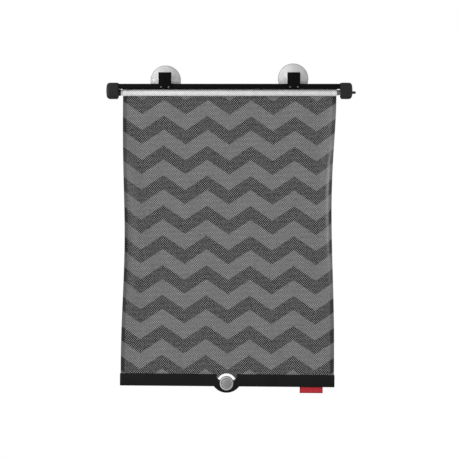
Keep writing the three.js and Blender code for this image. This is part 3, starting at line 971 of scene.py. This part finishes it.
    def web(self, side: Side, mouth: float, low: Vector, high: Vector) -> bmesh.types.BMesh:
        """Builds a cap's cross wall, which shows below the rail.

        Args:
            side: The cap's side.
            mouth: The mouth's place along the rail.
            low: The cap's lowest corner.
            high: The cap's highest corner.

        Returns:
            The wall.
        """
        near = mouth + side.value * self.web_inset
        far = near + side.value * self.web_wall
        inside = self.cap_wall * 0.8
        bottom = low.z + inside
        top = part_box("rail")[0].z - 0.25 * MM
        corner = Vector((min(near, far), low.y + inside, bottom))
        mesh = block(corner, Vector((max(near, far), high.y - inside, top)))
        mesh.normal_update()
        along = [e for e in mesh.edges if abs(e.verts[0].co.x - e.verts[1].co.x) > MM]
        lower = [e for e in along if abs(e.verts[0].co.z - bottom) < 0.01 * MM]
        rounded(mesh, lower, self.cap_edge - inside, 6)
        return mesh

    def boss(self, mouth: float) -> bmesh.types.BMesh:
        """Builds the left cap's round boss, which holds the spring's arbor."""
        end = mouth - self.web_inset - self.web_wall
        tip = mouth + self.boss_reach
        bore = 1.6 * MM
        outline = [
            (end, 0), (end, self.boss_radius), (tip, self.boss_radius), (tip, bore), (tip - MM, bore),
            (tip - MM, 0),
        ]
        mesh = turned(outline, Axis.ALONG_RAIL, self.datum.line, steps=48)
        soften(mesh, 0.3 * MM)
        return mesh

    def plug(self, side: Side, finish: MouldedFinish, slot: str) -> None:
        """Builds one end plug of the roller, with its flange against the tube.

        Args:
            side: The roller's end.
            finish: The plug's plastic.
            slot: The record's name for that plastic.
        """
        node = f"end_plug_{side.word}"
        low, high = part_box(node)
        sign = side.value
        tip, inside = (high.x, low.x) if sign > 0 else (low.x, high.x)
        face = (self.datum.roll_high.x if sign > 0 else self.datum.roll_low.x) + sign * 0.15 * MM
        bore = (1.75 if side is Side.LEFT else 2.65) * MM
        radius, spigot = (high.z - low.z) / 2, 3.75 * MM
        outline = [
            (inside, bore), (inside, spigot), (face, spigot), (face, radius), (tip, radius),
            (tip, bore), (inside, bore),
        ]
        mesh = turned(outline, Axis.ALONG_RAIL, self.datum.line, steps=48)
        soften(mesh, 0.2 * MM, segments=2)
        settle(piece_of(mesh, f"journal_plug_{side.word}", finish.material()), "roller", slot, node)

    def sleeve(self) -> None:
        """Builds the ribbed sleeve between the roller and the right cap."""
        low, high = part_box("bearing_sleeve")
        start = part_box("end_plug_right")[1].x + 0.3 * MM
        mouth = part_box("end_cap_right")[0].x
        bore, journal, radius, groove = 1.5 * MM, 2.4 * MM, 4.1 * MM, 3.6 * MM
        flange, flange_width = (high.z - low.z) / 2, 1.3 * MM
        ribs: list[tuple[float, float]] = []
        pitch = (mouth - start) / 2
        for i in range(2):
            left = start + (i + 0.5) * pitch
            ribs += [(left, radius), (left, groove), (left + pitch / 2, groove), (left + pitch / 2, radius)]
        outline = [
            (low.x, bore), (low.x, journal), (start, journal), (start, radius), *ribs,
            (high.x - flange_width, radius), (high.x - flange_width, flange), (high.x, flange),
            (high.x, bore), (low.x, bore),
        ]
        mesh = turned(outline, Axis.ALONG_RAIL, self.datum.line, steps=48)
        made = piece_of(mesh, "ribbed_sleeve", self.grey_nylon.material())
        settle(made, "housing", "grey_nylon", "bearing_sleeve")


@dataclass
class Hanger:
    """One upper suction cup with the hook that joins it to the rail."""

    side: Side
    plate: float = 2 * MM
    bend: float = 1.2 * MM
    slot_half: float = 2.65 * MM
    slot_rise: float = 4.15 * MM
    rim: float = 23 * MM
    lip: float = 2.5 * MM
    lip_edge: float = 0.8 * MM
    dish: float = 6.5 * MM
    shoulder: float = 8.5 * MM
    hub: float = 4.6 * MM
    neck: float = 2.5 * MM
    head: float = 5 * MM
    hook_plastic: MouldedFinish = MouldedFinish(
        "hook plastic", grey(9), 0.5, 0.04, grain=0.4 * MM, grain_depth=0.02 * MM
    )

    def build(self) -> None:
        """Builds the cup and its hook."""
        self.cup()
        self.hook()

    def cup(self) -> None:
        """Builds the suction cup, from its dished lip to the head behind the hook's back leg."""
        node = f"upper_cup_{self.side.word}"
        low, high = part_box(node)
        centre = Vector(((low.x + high.x) / 2, 0, (low.z + high.z) / 2))
        back_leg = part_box(f"cup_bracket_{self.side.word}")[1].y
        head_end = low.y
        front_leg = back_leg - self.plate - 0.25 * MM
        outline = [
            (-self.dish, 0), (-0.97 * self.dish, 0.2 * self.rim), (-0.86 * self.dish, 0.42 * self.rim),
            (-0.62 * self.dish, 0.62 * self.rim), (-0.3 * self.dish, 0.79 * self.rim),
            (-0.07 * self.dish, 0.87 * self.rim),
            (0, self.rim - self.lip), (0, self.rim - 0.15 * MM), (-0.15 * MM, self.rim),
            (-0.65 * self.lip_edge, self.rim),
            (-self.lip_edge - 0.1 * MM, self.rim - 0.35 * MM),
            (-self.lip_edge - 0.35 * MM, self.rim - 1.2 * MM),
            (-0.42 * self.shoulder, 0.79 * self.rim), (-0.68 * self.shoulder, 0.62 * self.rim),
            (-0.86 * self.shoulder, 0.47 * self.rim), (-0.96 * self.shoulder, 0.33 * self.rim),
            (-self.shoulder, self.hub + 0.6 * MM), (-self.shoulder - 0.5 * MM, self.hub),
            (back_leg + 0.25 * MM, self.hub - 0.3 * MM),
            (back_leg + 0.25 * MM, self.neck), (front_leg, self.neck), (front_leg, self.head - 0.5 * MM),
            (front_leg - 0.6 * MM, self.head), (head_end + MM, self.head - 0.3 * MM),
            (head_end, self.head - 1.6 * MM), (head_end, 0),
        ]
        mesh = turned(outline, Axis.THROUGH_GLASS, centre, steps=112)
        # grey(128) is the colour of the painted shade line at the lip; the cup's right side also darkens with
        # painted shade.
        finish = ClearVinylFinish(f"cup vinyl {self.side.word}", centre, self.rim, grey(224), grey(128), 0.3)
        made = piece_of(mesh, f"window_cup_{self.side.word}", finish.material(), crease=48)
        settle(made, "housing", "clear_vinyl", node)

    def hook(self) -> None:
        """Builds the hook: a bent plate over the rail with a slot for the cup's neck in its back leg."""
        node = f"cup_bracket_{self.side.word}"
        low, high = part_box(node)
        cup_low, cup_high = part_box(f"upper_cup_{self.side.word}")
        rail_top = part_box("rail")[1].z + 0.25 * MM
        mesh = bmesh.new()
        line = [(low.y, low.z), (low.y, high.z), (high.y, high.z), (high.y, rail_top)]
        verts = [mesh.verts.new((low.x, y, z)) for y, z in line]
        edges = [mesh.edges.new(pair) for pair in zip(verts, verts[1:])]
        pulled_along(mesh, edges, high.x - low.x)
        self.open_slot(mesh, Vector(((cup_low.x + cup_high.x) / 2, high.y, 0)))
        rounded(mesh, sharp_edges(mesh, 60), self.bend, 5)
        walled(mesh, self.plate)
        soften(mesh, 0.3 * MM, segments=3, degrees=60)
        made = piece_of(mesh, f"hook_{self.side.word}", self.hook_plastic.material())
        settle(made, "housing", "black_plastic", node)

    def open_slot(self, mesh: bmesh.types.BMesh, middle: Vector) -> None:
        """Opens the slot for the cup's neck in the back leg's skin.

        Args:
            mesh: The hook's skin.
            middle: The slot's middle on the back leg.
        """
        inward = -self.side.value
        up, along = Vector((0, 0, 1)), Vector((1, 0, 0))
        cuts = []
        for normal, reach in ((up, self.slot_half), (up, self.slot_rise), (along, self.slot_half)):
            cuts += [(middle + normal * reach, normal), (middle - normal * reach, normal)]
        for point, normal in cuts:
            leg = [f for f in mesh.faces if abs(f.calc_center_median().y - middle.y) < 0.1 * MM]
            geom = list({x for f in leg for x in (*f.verts, *f.edges)}) + leg
            bmesh.ops.bisect_plane(mesh, geom=geom, plane_co=point, plane_no=normal)
        gone = []
        for face in mesh.faces:
            spot = face.calc_center_median() - middle
            if abs(spot.y) > 0.1 * MM:
                continue
            upright = abs(spot.x) < self.slot_half and abs(spot.z) < self.slot_rise
            sideways = spot.x * inward > 0 and abs(spot.z) < self.slot_half
            if upright or sideways:
                gone.append(face)
        bmesh.ops.delete(mesh, geom=gone, context="FACES")


@dataclass
class Roll:
    """The film that is still wound on the roller, with its white back outward."""

    datum: Datum
    core: float = 4.65 * MM

    def build(self) -> None:
        """Builds the roll as a ring with softly rounded ends."""
        low, high = self.datum.roll_low, self.datum.roll_high
        radius = (high.z - low.z) / 2
        core = self.core
        outline = [(low.x, core), (low.x, radius), (high.x, radius), (high.x, core), (low.x, core)]
        centre = self.datum.line
        mesh = turned(outline, Axis.ALONG_RAIL, centre, steps=72)
        soften(mesh, 0.15 * MM, segments=2)
        finish = WoundFilmFinish(centre.y, centre.z, low.x, high.x, roll_radius=radius)
        settle(piece_of(mesh, "wound_film", finish.material()), "roller", "white_film", "film_roll")


@dataclass
class Curl:
    """How one side edge of the film curls towards the viewer."""

    length: float
    angle: float
    peak: float


@dataclass
class Film:
    """The perforated film between the roller and the hem bar, as a printed ply and a white ply."""

    datum: Datum
    width: float = 320 * MM
    top: float = -1.5 * MM
    bottom: float = 437.5 * MM
    curl_from: float = 6.2 * MM
    curl_to: float = 421.2 * MM
    left: Curl = field(default_factory=lambda: Curl(36 * MM, 0.87, 1.09))
    right: Curl = field(default_factory=lambda: Curl(28 * MM, 1.17, 0.74))
    sharpness: float = 1.3
    margin: float = 6.5 * MM
    pitch_across: float = 3.12 * MM
    pitch_down: float = 3.68 * MM
    hole: float = 0.36 * MM
    ply_gap: float = 0.28 * MM
    knob_across: float = -1 * MM
    knob_down: float = 436 * MM
    slot_outer: float = 14.85 * MM
    slot_from: float = 28
    slot_to: float = 152
    ripple: float = 0.22 * MM

    def build(self) -> None:
        """Builds both plies from one flat cut."""
        for ply in Ply:
            printed = ply is Ply.PRINTED
            mesh = self.flat_cut()
            self.hang_up(mesh, ply)
            finish = PrintedFilmFinish() if printed else WhiteFilmFinish()
            made = piece_of(mesh, ply.value, finish.material(), crease=80)
            slot, node = ("dark_print", "chevron_print") if printed else ("grey_film", "shade_film")
            settle(made, "housing", slot, node)
            self.declare(made)

    def flat_cut(self) -> bmesh.types.BMesh:
        """Cuts and perforates the film flat, with X across it and Y down it.

        Returns:
            The flat mesh.
        """
        rows = round((self.bottom - self.top) / (self.pitch_down / 2))
        inner = int((self.width - 2 * self.margin) / self.pitch_across)
        columns = inner + 2
        mesh = bmesh.new()
        bmesh.ops.create_grid(mesh, x_segments=columns, y_segments=rows, size=0.5)
        holes = []
        for vert in mesh.verts:
            column = round((vert.co.x + 0.5) * columns)
            row = round((vert.co.y + 0.5) * rows)
            shift = 0.25 if row % 2 else -0.25
            across = (column - columns / 2 + shift) * self.pitch_across
            if column in (0, columns):
                across = math.copysign(self.width / 2, column - 1)
            elif 0 < row < rows:
                holes.append(vert)
            vert.co = (across, self.top + (self.bottom - self.top) * row / rows, 0)
        bmesh.ops.triangulate(mesh, faces=mesh.faces, quad_method="SHORT_EDGE")
        cut = bmesh.ops.bevel(
            mesh, geom=holes, offset=self.hole, offset_type="OFFSET", segments=1, profile=0.5,
            affect="VERTICES", clamp_overlap=False, material=-1,
        )
        bmesh.ops.delete(mesh, geom=cut["faces"], context="FACES")
        self.cut_crescent(mesh)
        return mesh

    def cut_crescent(self, mesh: bmesh.types.BMesh) -> None:
        """Cuts the crescent above the knob out of the flat film.

        Args:
            mesh: The flat mesh.
        """
        knob = Vector((self.knob_across, self.knob_down, 0))
        steps = 16
        spread = self.slot_to - self.slot_from
        angles = [math.radians(self.slot_from + spread * i / steps) for i in range(steps + 1)]

        def outward(angle: float) -> Vector:
            """The direction of an angle above the knob, on the flat film."""
            return Vector((math.cos(angle), -math.sin(angle), 0))

        def near(first: float, last: float) -> list:
            """What lies near the crescent between two angles."""
            found = []
            for face in mesh.faces:
                spot = face.calc_center_median() - knob
                angle = math.atan2(-spot.y, spot.x)
                if first - 0.35 < angle < last + 0.35 and spot.length < 1.6 * self.slot_outer:
                    found.append(face)
            return list({x for f in found for x in (*f.verts, *f.edges)}) + found

        for first, last in zip(angles, angles[1:]):
            middle = outward((first + last) / 2)
            chord = knob + middle * self.slot_outer * math.cos((last - first) / 2)
            bmesh.ops.bisect_plane(mesh, geom=near(first, last), plane_co=chord, plane_no=middle)
        for angle in (angles[0], angles[-1]):
            across = Vector((math.sin(angle), math.cos(angle), 0))
            bmesh.ops.bisect_plane(mesh, geom=near(angle, angle), plane_co=knob, plane_no=across)
        gone = []
        for face in mesh.faces:
            spot = face.calc_center_median() - knob
            angle = math.atan2(-spot.y, spot.x)
            if angles[0] < angle < angles[-1] and spot.length < self.slot_outer:
                gone.append(face)
        bmesh.ops.delete(mesh, geom=gone, context="FACES")

    def share_down(self, down: float) -> float:
        """How far a height lies along the curled part of the film, from 0 to 1."""
        return min(max((down - self.curl_from) / (self.curl_to - self.curl_from), 0.0), 1.0)

    def curl_angle(self, curl: Curl, down: float) -> float:
        """How far an edge has turned at a height, in radians."""
        share = self.share_down(down)
        return curl.angle * math.sin(math.pi * share**curl.peak) ** self.sharpness

    def place(self, across: float, down: float, out: float) -> Vector:
        """Where a point of the flat film hangs.

        Args:
            across: Its distance right of the film's middle line.
            down: Its distance below the roller's axis.
            out: Its height in front of the film's back.

        Returns:
            Its place in the frame.
        """
        side = math.copysign(1, across)
        curl = self.left if across < 0 else self.right
        flat = self.width / 2 - curl.length
        bent = abs(across) - flat
        out += self.ripples(across, down)
        if bent <= 0:
            return self.datum.hung(Vector((across, -out, -down)))
        full = max(abs(self.curl_angle(curl, down)), 1e-4)
        radius = curl.length / full
        turn = bent / radius
        reach = flat + (radius - out) * math.sin(turn)
        forward = radius * (1 - math.cos(turn)) + out * math.cos(turn)
        return self.datum.hung(Vector((side * reach, -forward, -down)))

    def ripples(self, across: float, down: float) -> float:
        """The small waves that the film keeps from the roll, which fade out at the roller and the bar."""
        share = self.share_down(down)
        fade = min(1.0, 9 * share) * min(1.0, 9 * (1 - share))
        slow = math.sin(across * math.tau / 0.124 + 1.1) * math.sin(down * math.tau / 0.39 + 0.4)
        fast = math.sin(across * math.tau / 0.071 + down * 9 + 0.7) * math.sin(down * math.tau / 0.21 + 2.0)
        return self.ripple * fade * (1 + 0.7 * slow + 0.4 * fast)

    def hang_up(self, mesh: bmesh.types.BMesh, ply: Ply) -> None:
        """Keeps each point's flat place and moves it to where the film hangs.

        Args:
            mesh: The flat mesh.
            ply: The face of the film that it becomes.
        """
        flat = mesh.verts.layers.float_vector.new(FLAT_PLACE)
        out = self.ply_gap if ply is Ply.PRINTED else 0.0
        for vert in mesh.verts:
            across, down, _ = vert.co
            vert[flat] = (across, down, 0)
            vert.co = self.place(across, down, out)
        mesh.normal_update()
        facing = sum(f.normal.y for f in mesh.faces)
        if (facing > 0) == (ply is Ply.PRINTED):
            bmesh.ops.reverse_faces(mesh, faces=mesh.faces)

    def declare(self, made: bpy.types.Object) -> None:
        """Works out how much of the hung film would stay as the bar goes up, and gives the ply its own mesh.

        Args:
            made: The ply.
        """
        travel = next(j for j in frame["joints"] if j["name"] == "bar_slide")["range_m"][1]
        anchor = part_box("shade_film")[1].z
        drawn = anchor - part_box("hem_strip_front")[1].z
        keep = (drawn - travel) / drawn
        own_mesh(made)


@dataclass
class HemBar:
    """The two strips that clamp the film, with the pull tab, its cup and the ribbon label."""

    datum: Datum
    half: float = 160.9 * MM
    top: float = -422.2 * MM
    foot: float = -440.4 * MM
    middle: float = -1 * MM
    tab_drop: float = 3.9 * MM
    tab_radius: float = 23.8 * MM
    notch: float = 15.4 * MM
    knob_drop: float = 13.8 * MM
    boss: float = 8 * MM
    knob: float = 10.1 * MM
    groove: float = 7.6 * MM
    knob_core: float = 5.2 * MM
    neck: float = 3.6 * MM
    cup_lip: float = 10.8 * MM

    def build(self) -> None:
        """Builds the bar's pieces."""
        foot = self.datum.hung(Vector((0, 0, self.foot))).z
        finish = HemFinish(foot, math.tan(self.datum.lean))
        for place in ("front", "back"):
            self.strip(place, finish)
        self.cup()
        self.ribbon()

    def outline(self) -> list[tuple[float, float]]:
        """The outline of a strip, with the tab below it and the notch round the knob above it.

        Returns:
            Points of (distance right of the film's middle line, height above the roller's axis).
        """
        tab = (self.middle, self.top - self.tab_drop)
        knob = (self.middle, self.top - self.knob_drop)
        dip = math.degrees(math.asin((tab[1] - self.foot) / self.tab_radius))
        along = (self.notch**2 - self.boss**2 + self.knob_drop**2) / (2 * self.knob_drop)
        meet = math.degrees(math.acos(along / self.notch))
        rise = self.knob_drop - along
        side = math.degrees(math.asin(rise / self.boss))
        return [
            (-self.half, self.top),
            (-self.half, self.foot),
            *arc(tab, self.tab_radius, 180 + dip, 360 - dip, 36),
            (self.half, self.foot),
            (self.half, self.top),
            *arc((self.middle, self.top), self.notch, 360, 270 + meet, 12),
            *arc(knob, self.boss, side, 180 - side, 16),
            *arc((self.middle, self.top), self.notch, 270 - meet, 180, 12),
        ]

    def strip(self, place: str, finish: HemFinish) -> None:
        """Builds one of the two strips.

        Args:
            place: front or back.
            finish: The strip's finish.
        """
        node = f"hem_strip_{place}"
        low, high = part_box(node)
        mesh = bmesh.new()
        points = [self.datum.hung(Vector((u, 0, v))) for u, v in self.outline()]
        face = mesh.faces.new([mesh.verts.new((p.x, high.y, p.z)) for p in points])
        made = bmesh.ops.extrude_face_region(mesh, geom=[face])["geom"]
        moved = [v for v in made if isinstance(v, bmesh.types.BMVert)]
        bmesh.ops.translate(mesh, verts=moved, vec=(0, low.y - high.y, 0))
        bmesh.ops.recalc_face_normals(mesh, faces=mesh.faces)
        soften(mesh, 0.35 * MM, segments=3, degrees=40)
        settle(piece_of(mesh, f"bar_{place}", finish.material()), "hem_bar", "black_plastic", node)

    def cup(self) -> None:
        """Builds the lower suction cup, whose grooved head shows in the tab."""
        low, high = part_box("lower_cup")
        centre = self.datum.hung(Vector((self.middle, 0, self.top - self.knob_drop)))
        centre.y = 0
        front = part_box("hem_strip_front")[0].y - 0.3 * MM
        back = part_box("hem_strip_back")[1].y + 0.3 * MM
        face = low.y
        outline = [
            (face + 1.1 * MM, 0), (face + 0.7 * MM, 1.5 * MM), (face + 0.55 * MM, 3.2 * MM),
            (face + 0.9 * MM, 5.2 * MM),
            (face + 1.3 * MM, 5.9 * MM), (face + 2.2 * MM, 6.5 * MM), (face + 2.35 * MM, 7.1 * MM),
            (face + 2.1 * MM, 7.7 * MM),
            (face + 0.5 * MM, 8.1 * MM), (face + 0.05 * MM, 8.5 * MM), (face, 8.9 * MM),
            (face + 0.25 * MM, 9.6 * MM),
            (face + 0.9 * MM, self.knob), (front - 0.7 * MM, self.knob),
            (front - 0.15 * MM, self.knob - 0.3 * MM),
            (front, self.knob - 0.8 * MM), (front, self.neck), (back, self.neck),
            (back + 0.2 * MM, 1.4 * self.neck),
            (back + 2.2 * MM, 1.55 * self.neck), (-4.6 * MM, 0.66 * self.cup_lip),
            (-2.4 * MM, 0.84 * self.cup_lip),
            (-0.8 * MM, self.cup_lip - 0.1 * MM), (-0.3 * MM, self.cup_lip), (0, self.cup_lip - 0.1 * MM),
            (0, self.cup_lip - 2.2 * MM), (-1.6 * MM, 0.55 * self.cup_lip),
            (-2.7 * MM, 0.25 * self.cup_lip), (-3 * MM, 0),
        ]
        mesh = turned(outline, Axis.THROUGH_GLASS, centre, steps=96)
        # grey(60) is the painted shade in the knob's groove, and the darker core is a painted dark reflection
        # in its hollow middle.
        finish = ClearVinylFinish(
            "knob vinyl", centre, self.groove + 0.9 * MM, grey(180), grey(60), 0.1, ring=1.3 * MM,
            core=self.knob_core, painted_core_reflection_tone=0.5,
        )
        settle(piece_of(mesh, "tab_cup", finish.material(), crease=50), "hem_bar", "clear_vinyl", "lower_cup")

    def ribbon(self) -> None:
        """Builds the label: a ribbon folded at its foot, with both ends caught in the bar."""
        low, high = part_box("label_tag")
        fold = (high.y - low.y) / 2 - 0.08 * MM
        middle = (low.y + high.y) / 2
        mesh = bmesh.new()
        bend = arc((middle, low.z + fold + 0.1 * MM), fold, 180, 360, 8)
        side = [(middle - fold, high.z), *bend, (middle + fold, high.z)]
        verts = [mesh.verts.new((low.x, y, z)) for y, z in side]
        edges = [mesh.edges.new(pair) for pair in zip(verts, verts[1:])]
        pulled_along(mesh, edges, high.x - low.x)
        rotate = Matrix.Rotation(self.datum.lean, 3, "Y")
        bmesh.ops.rotate(mesh, verts=mesh.verts, cent=(low + high) / 2, matrix=rotate)
        made = piece_of(mesh, "ribbon_label", RibbonFinish(low, high).material(), crease=80)
        settle(made, "hem_bar", "red_ribbon", "label_tag")


@dataclass
class Works:
    """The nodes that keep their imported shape: the spring motor, the brake and the small pins."""

    steel: MetalFinish = MetalFinish("zinc plated steel", grey(160), 0.34)
    aluminium: MetalFinish = MetalFinish("drawn aluminium", grey(190), 0.38)
    pin_steel: MetalFinish = MetalFinish("dull pin steel", grey(96), 0.45)
    rubber: RubberFinish = RubberFinish("brake rubber", grey(44))
    nylon: MouldedFinish = MouldedFinish("plug nylon", grey(214), 0.42, 0.4, unevenness=0.05)
    button: MouldedFinish = MouldedFinish("button plastic", grey(20), 0.4, 0.25)

    def build(self) -> None:
        """Gives each kept node its material."""
        steel = self.steel.material()
        finishes = {
            "spring_arbor": steel,
            "torsion_spring": steel,
            "button_spring": steel,
            "roller_tube": self.aluminium.material(),
            "brake_disc": self.rubber.material(),
            "spring_plug": self.nylon.material(),
            "release_button": self.button.material(),
        }
        pins = self.pin_steel.material()
        for side in Side:
            finishes |= {f"bracket_pin_{side.word}_{letter}": pins for letter in "ab"}
        for name, material in finishes.items():
            self.dress(frame["nodes"][name], material)

    def dress(self, node: bpy.types.Object, material: bpy.types.Material) -> None:
        """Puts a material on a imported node.

        Args:
            node: The node's object.
            material: The material.
        """
        node.data.materials.clear()
        node.data.materials.append(material)
        LOG.info("%s keeps its packed shape, with %s", node.name, material.name)


@dataclass
class Studio:
    """The floor, the white surroundings, the lamps and the camera."""

    floor_drop: float = 0.66
    floor_half: float = 0.9
    lens: float = 250.0
    sensor: float = 36.0
    surround: float = 0.62
    floor_tone: Colour = grey(245)

    def build(self) -> None:
        """Sets the stage up."""
        scene = bpy.context.scene
        scene.view_settings.view_transform = "Standard"
        self.floor()
        self.surroundings()
        self.lamp("key", Vector((-1.3, -1.9, 0.9)), 1.5, 22)
        self.lamp("fill", Vector((1.7, -1.6, -0.1)), 1.2, 9)
        self.lamp("side", Vector((-1.7, -0.35, -0.05)), 0.6, 12)
        self.camera()

    def floor(self) -> None:
        """Lays a pale floor well below the hanging shade."""
        mesh = bmesh.new()
        bmesh.ops.create_grid(mesh, x_segments=1, y_segments=1, size=self.floor_half)
        bmesh.ops.translate(mesh, verts=mesh.verts, vec=(0, 0, -self.floor_drop))
        painter = Painter("studio floor")
        grain = painter.noise(painter.place(), 0.4)
        material = painter.surface(
            Base_Color=painter.shaded(self.floor_tone, grain.spread(0.99, 1.0)),
            Roughness=0.9,
            Specular_IOR_Level=0.0,
        )
        piece_of(mesh, "studio_floor", material)

    def surroundings(self) -> None:
        """Makes the surroundings white where they are seen, and softer where they only light the shade."""
        world = bpy.data.worlds.new("studio")
        bpy.context.scene.world = world
        world.use_nodes = True
        tree = world.node_tree
        tree.nodes.clear()
        path = tree.nodes.new("ShaderNodeLightPath")
        seen = path.outputs["Is Camera Ray"]
        for name in ("Is Glossy Ray", "Is Transmission Ray"):
            most = tree.nodes.new("ShaderNodeMath")
            most.operation = "MAXIMUM"
            tree.links.new(seen, most.inputs[0])
            tree.links.new(path.outputs[name], most.inputs[1])
            seen = most.outputs[0]
        strength = tree.nodes.new("ShaderNodeMapRange")
        strength.inputs["To Min"].default_value = self.surround
        strength.inputs["To Max"].default_value = 1.0
        tree.links.new(seen, strength.inputs["Value"])
        light = tree.nodes.new("ShaderNodeBackground")
        light.inputs["Color"].default_value = (1.0, 1.0, 1.0, 1.0)
        tree.links.new(strength.outputs["Result"], light.inputs["Strength"])
        end = tree.nodes.new("ShaderNodeOutputWorld")
        tree.links.new(light.outputs["Background"], end.inputs["Surface"])

    def lamp(self, name: str, place: Vector, size: float, power: float) -> None:
        """Hangs a square lamp that points at the shade.

        Args:
            name: The lamp's name.
            place: Where it hangs.
            size: Its width.
            power: Its power in watts.
        """
        data = bpy.data.lights.new(name, "AREA")
        data.size = size
        data.energy = power
        lamp = bpy.data.objects.new(name, data)
        lamp.location = place
        target = Vector((0, 0, -0.22))
        lamp.rotation_euler = (target - place).to_track_quat("-Z", "Y").to_euler()
        bpy.context.scene.collection.objects.link(lamp)

    def camera(self) -> None:
        """Places the camera straight in front of the shade, with the photograph's frame at the film."""
        width = PHOTO_PIXELS * PIXEL
        distance = width * self.lens / self.sensor
        centre = PHOTO_PIXELS / 2
        data = bpy.data.cameras.new("camera")
        data.lens = self.lens
        data.sensor_width = self.sensor
        data.clip_end = 100.0
        camera = bpy.data.objects.new("camera", data)
        x = (centre - CENTRE_PIXEL_X) * PIXEL
        z = (CUP_LINE_PIXEL_Y - centre) * PIXEL
        camera.location = (x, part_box("shade_film")[1].y - distance, z)
        camera.rotation_euler = (math.pi / 2, 0, 0)
        bpy.context.scene.collection.objects.link(camera)
        bpy.context.scene.camera = camera


def main() -> None:
    """Builds the studio and every sub-assembly in order."""
    logging.basicConfig(level=logging.INFO, format="%(message)s")
    Studio().build()
    datum = Datum()
    hangers = [Hanger(side) for side in Side]
    parts = [Housing(datum), *hangers, Roll(datum), Film(datum), HemBar(datum), Works()]
    for part in parts:
        part.build()


if __name__ == "__main__":
    main()
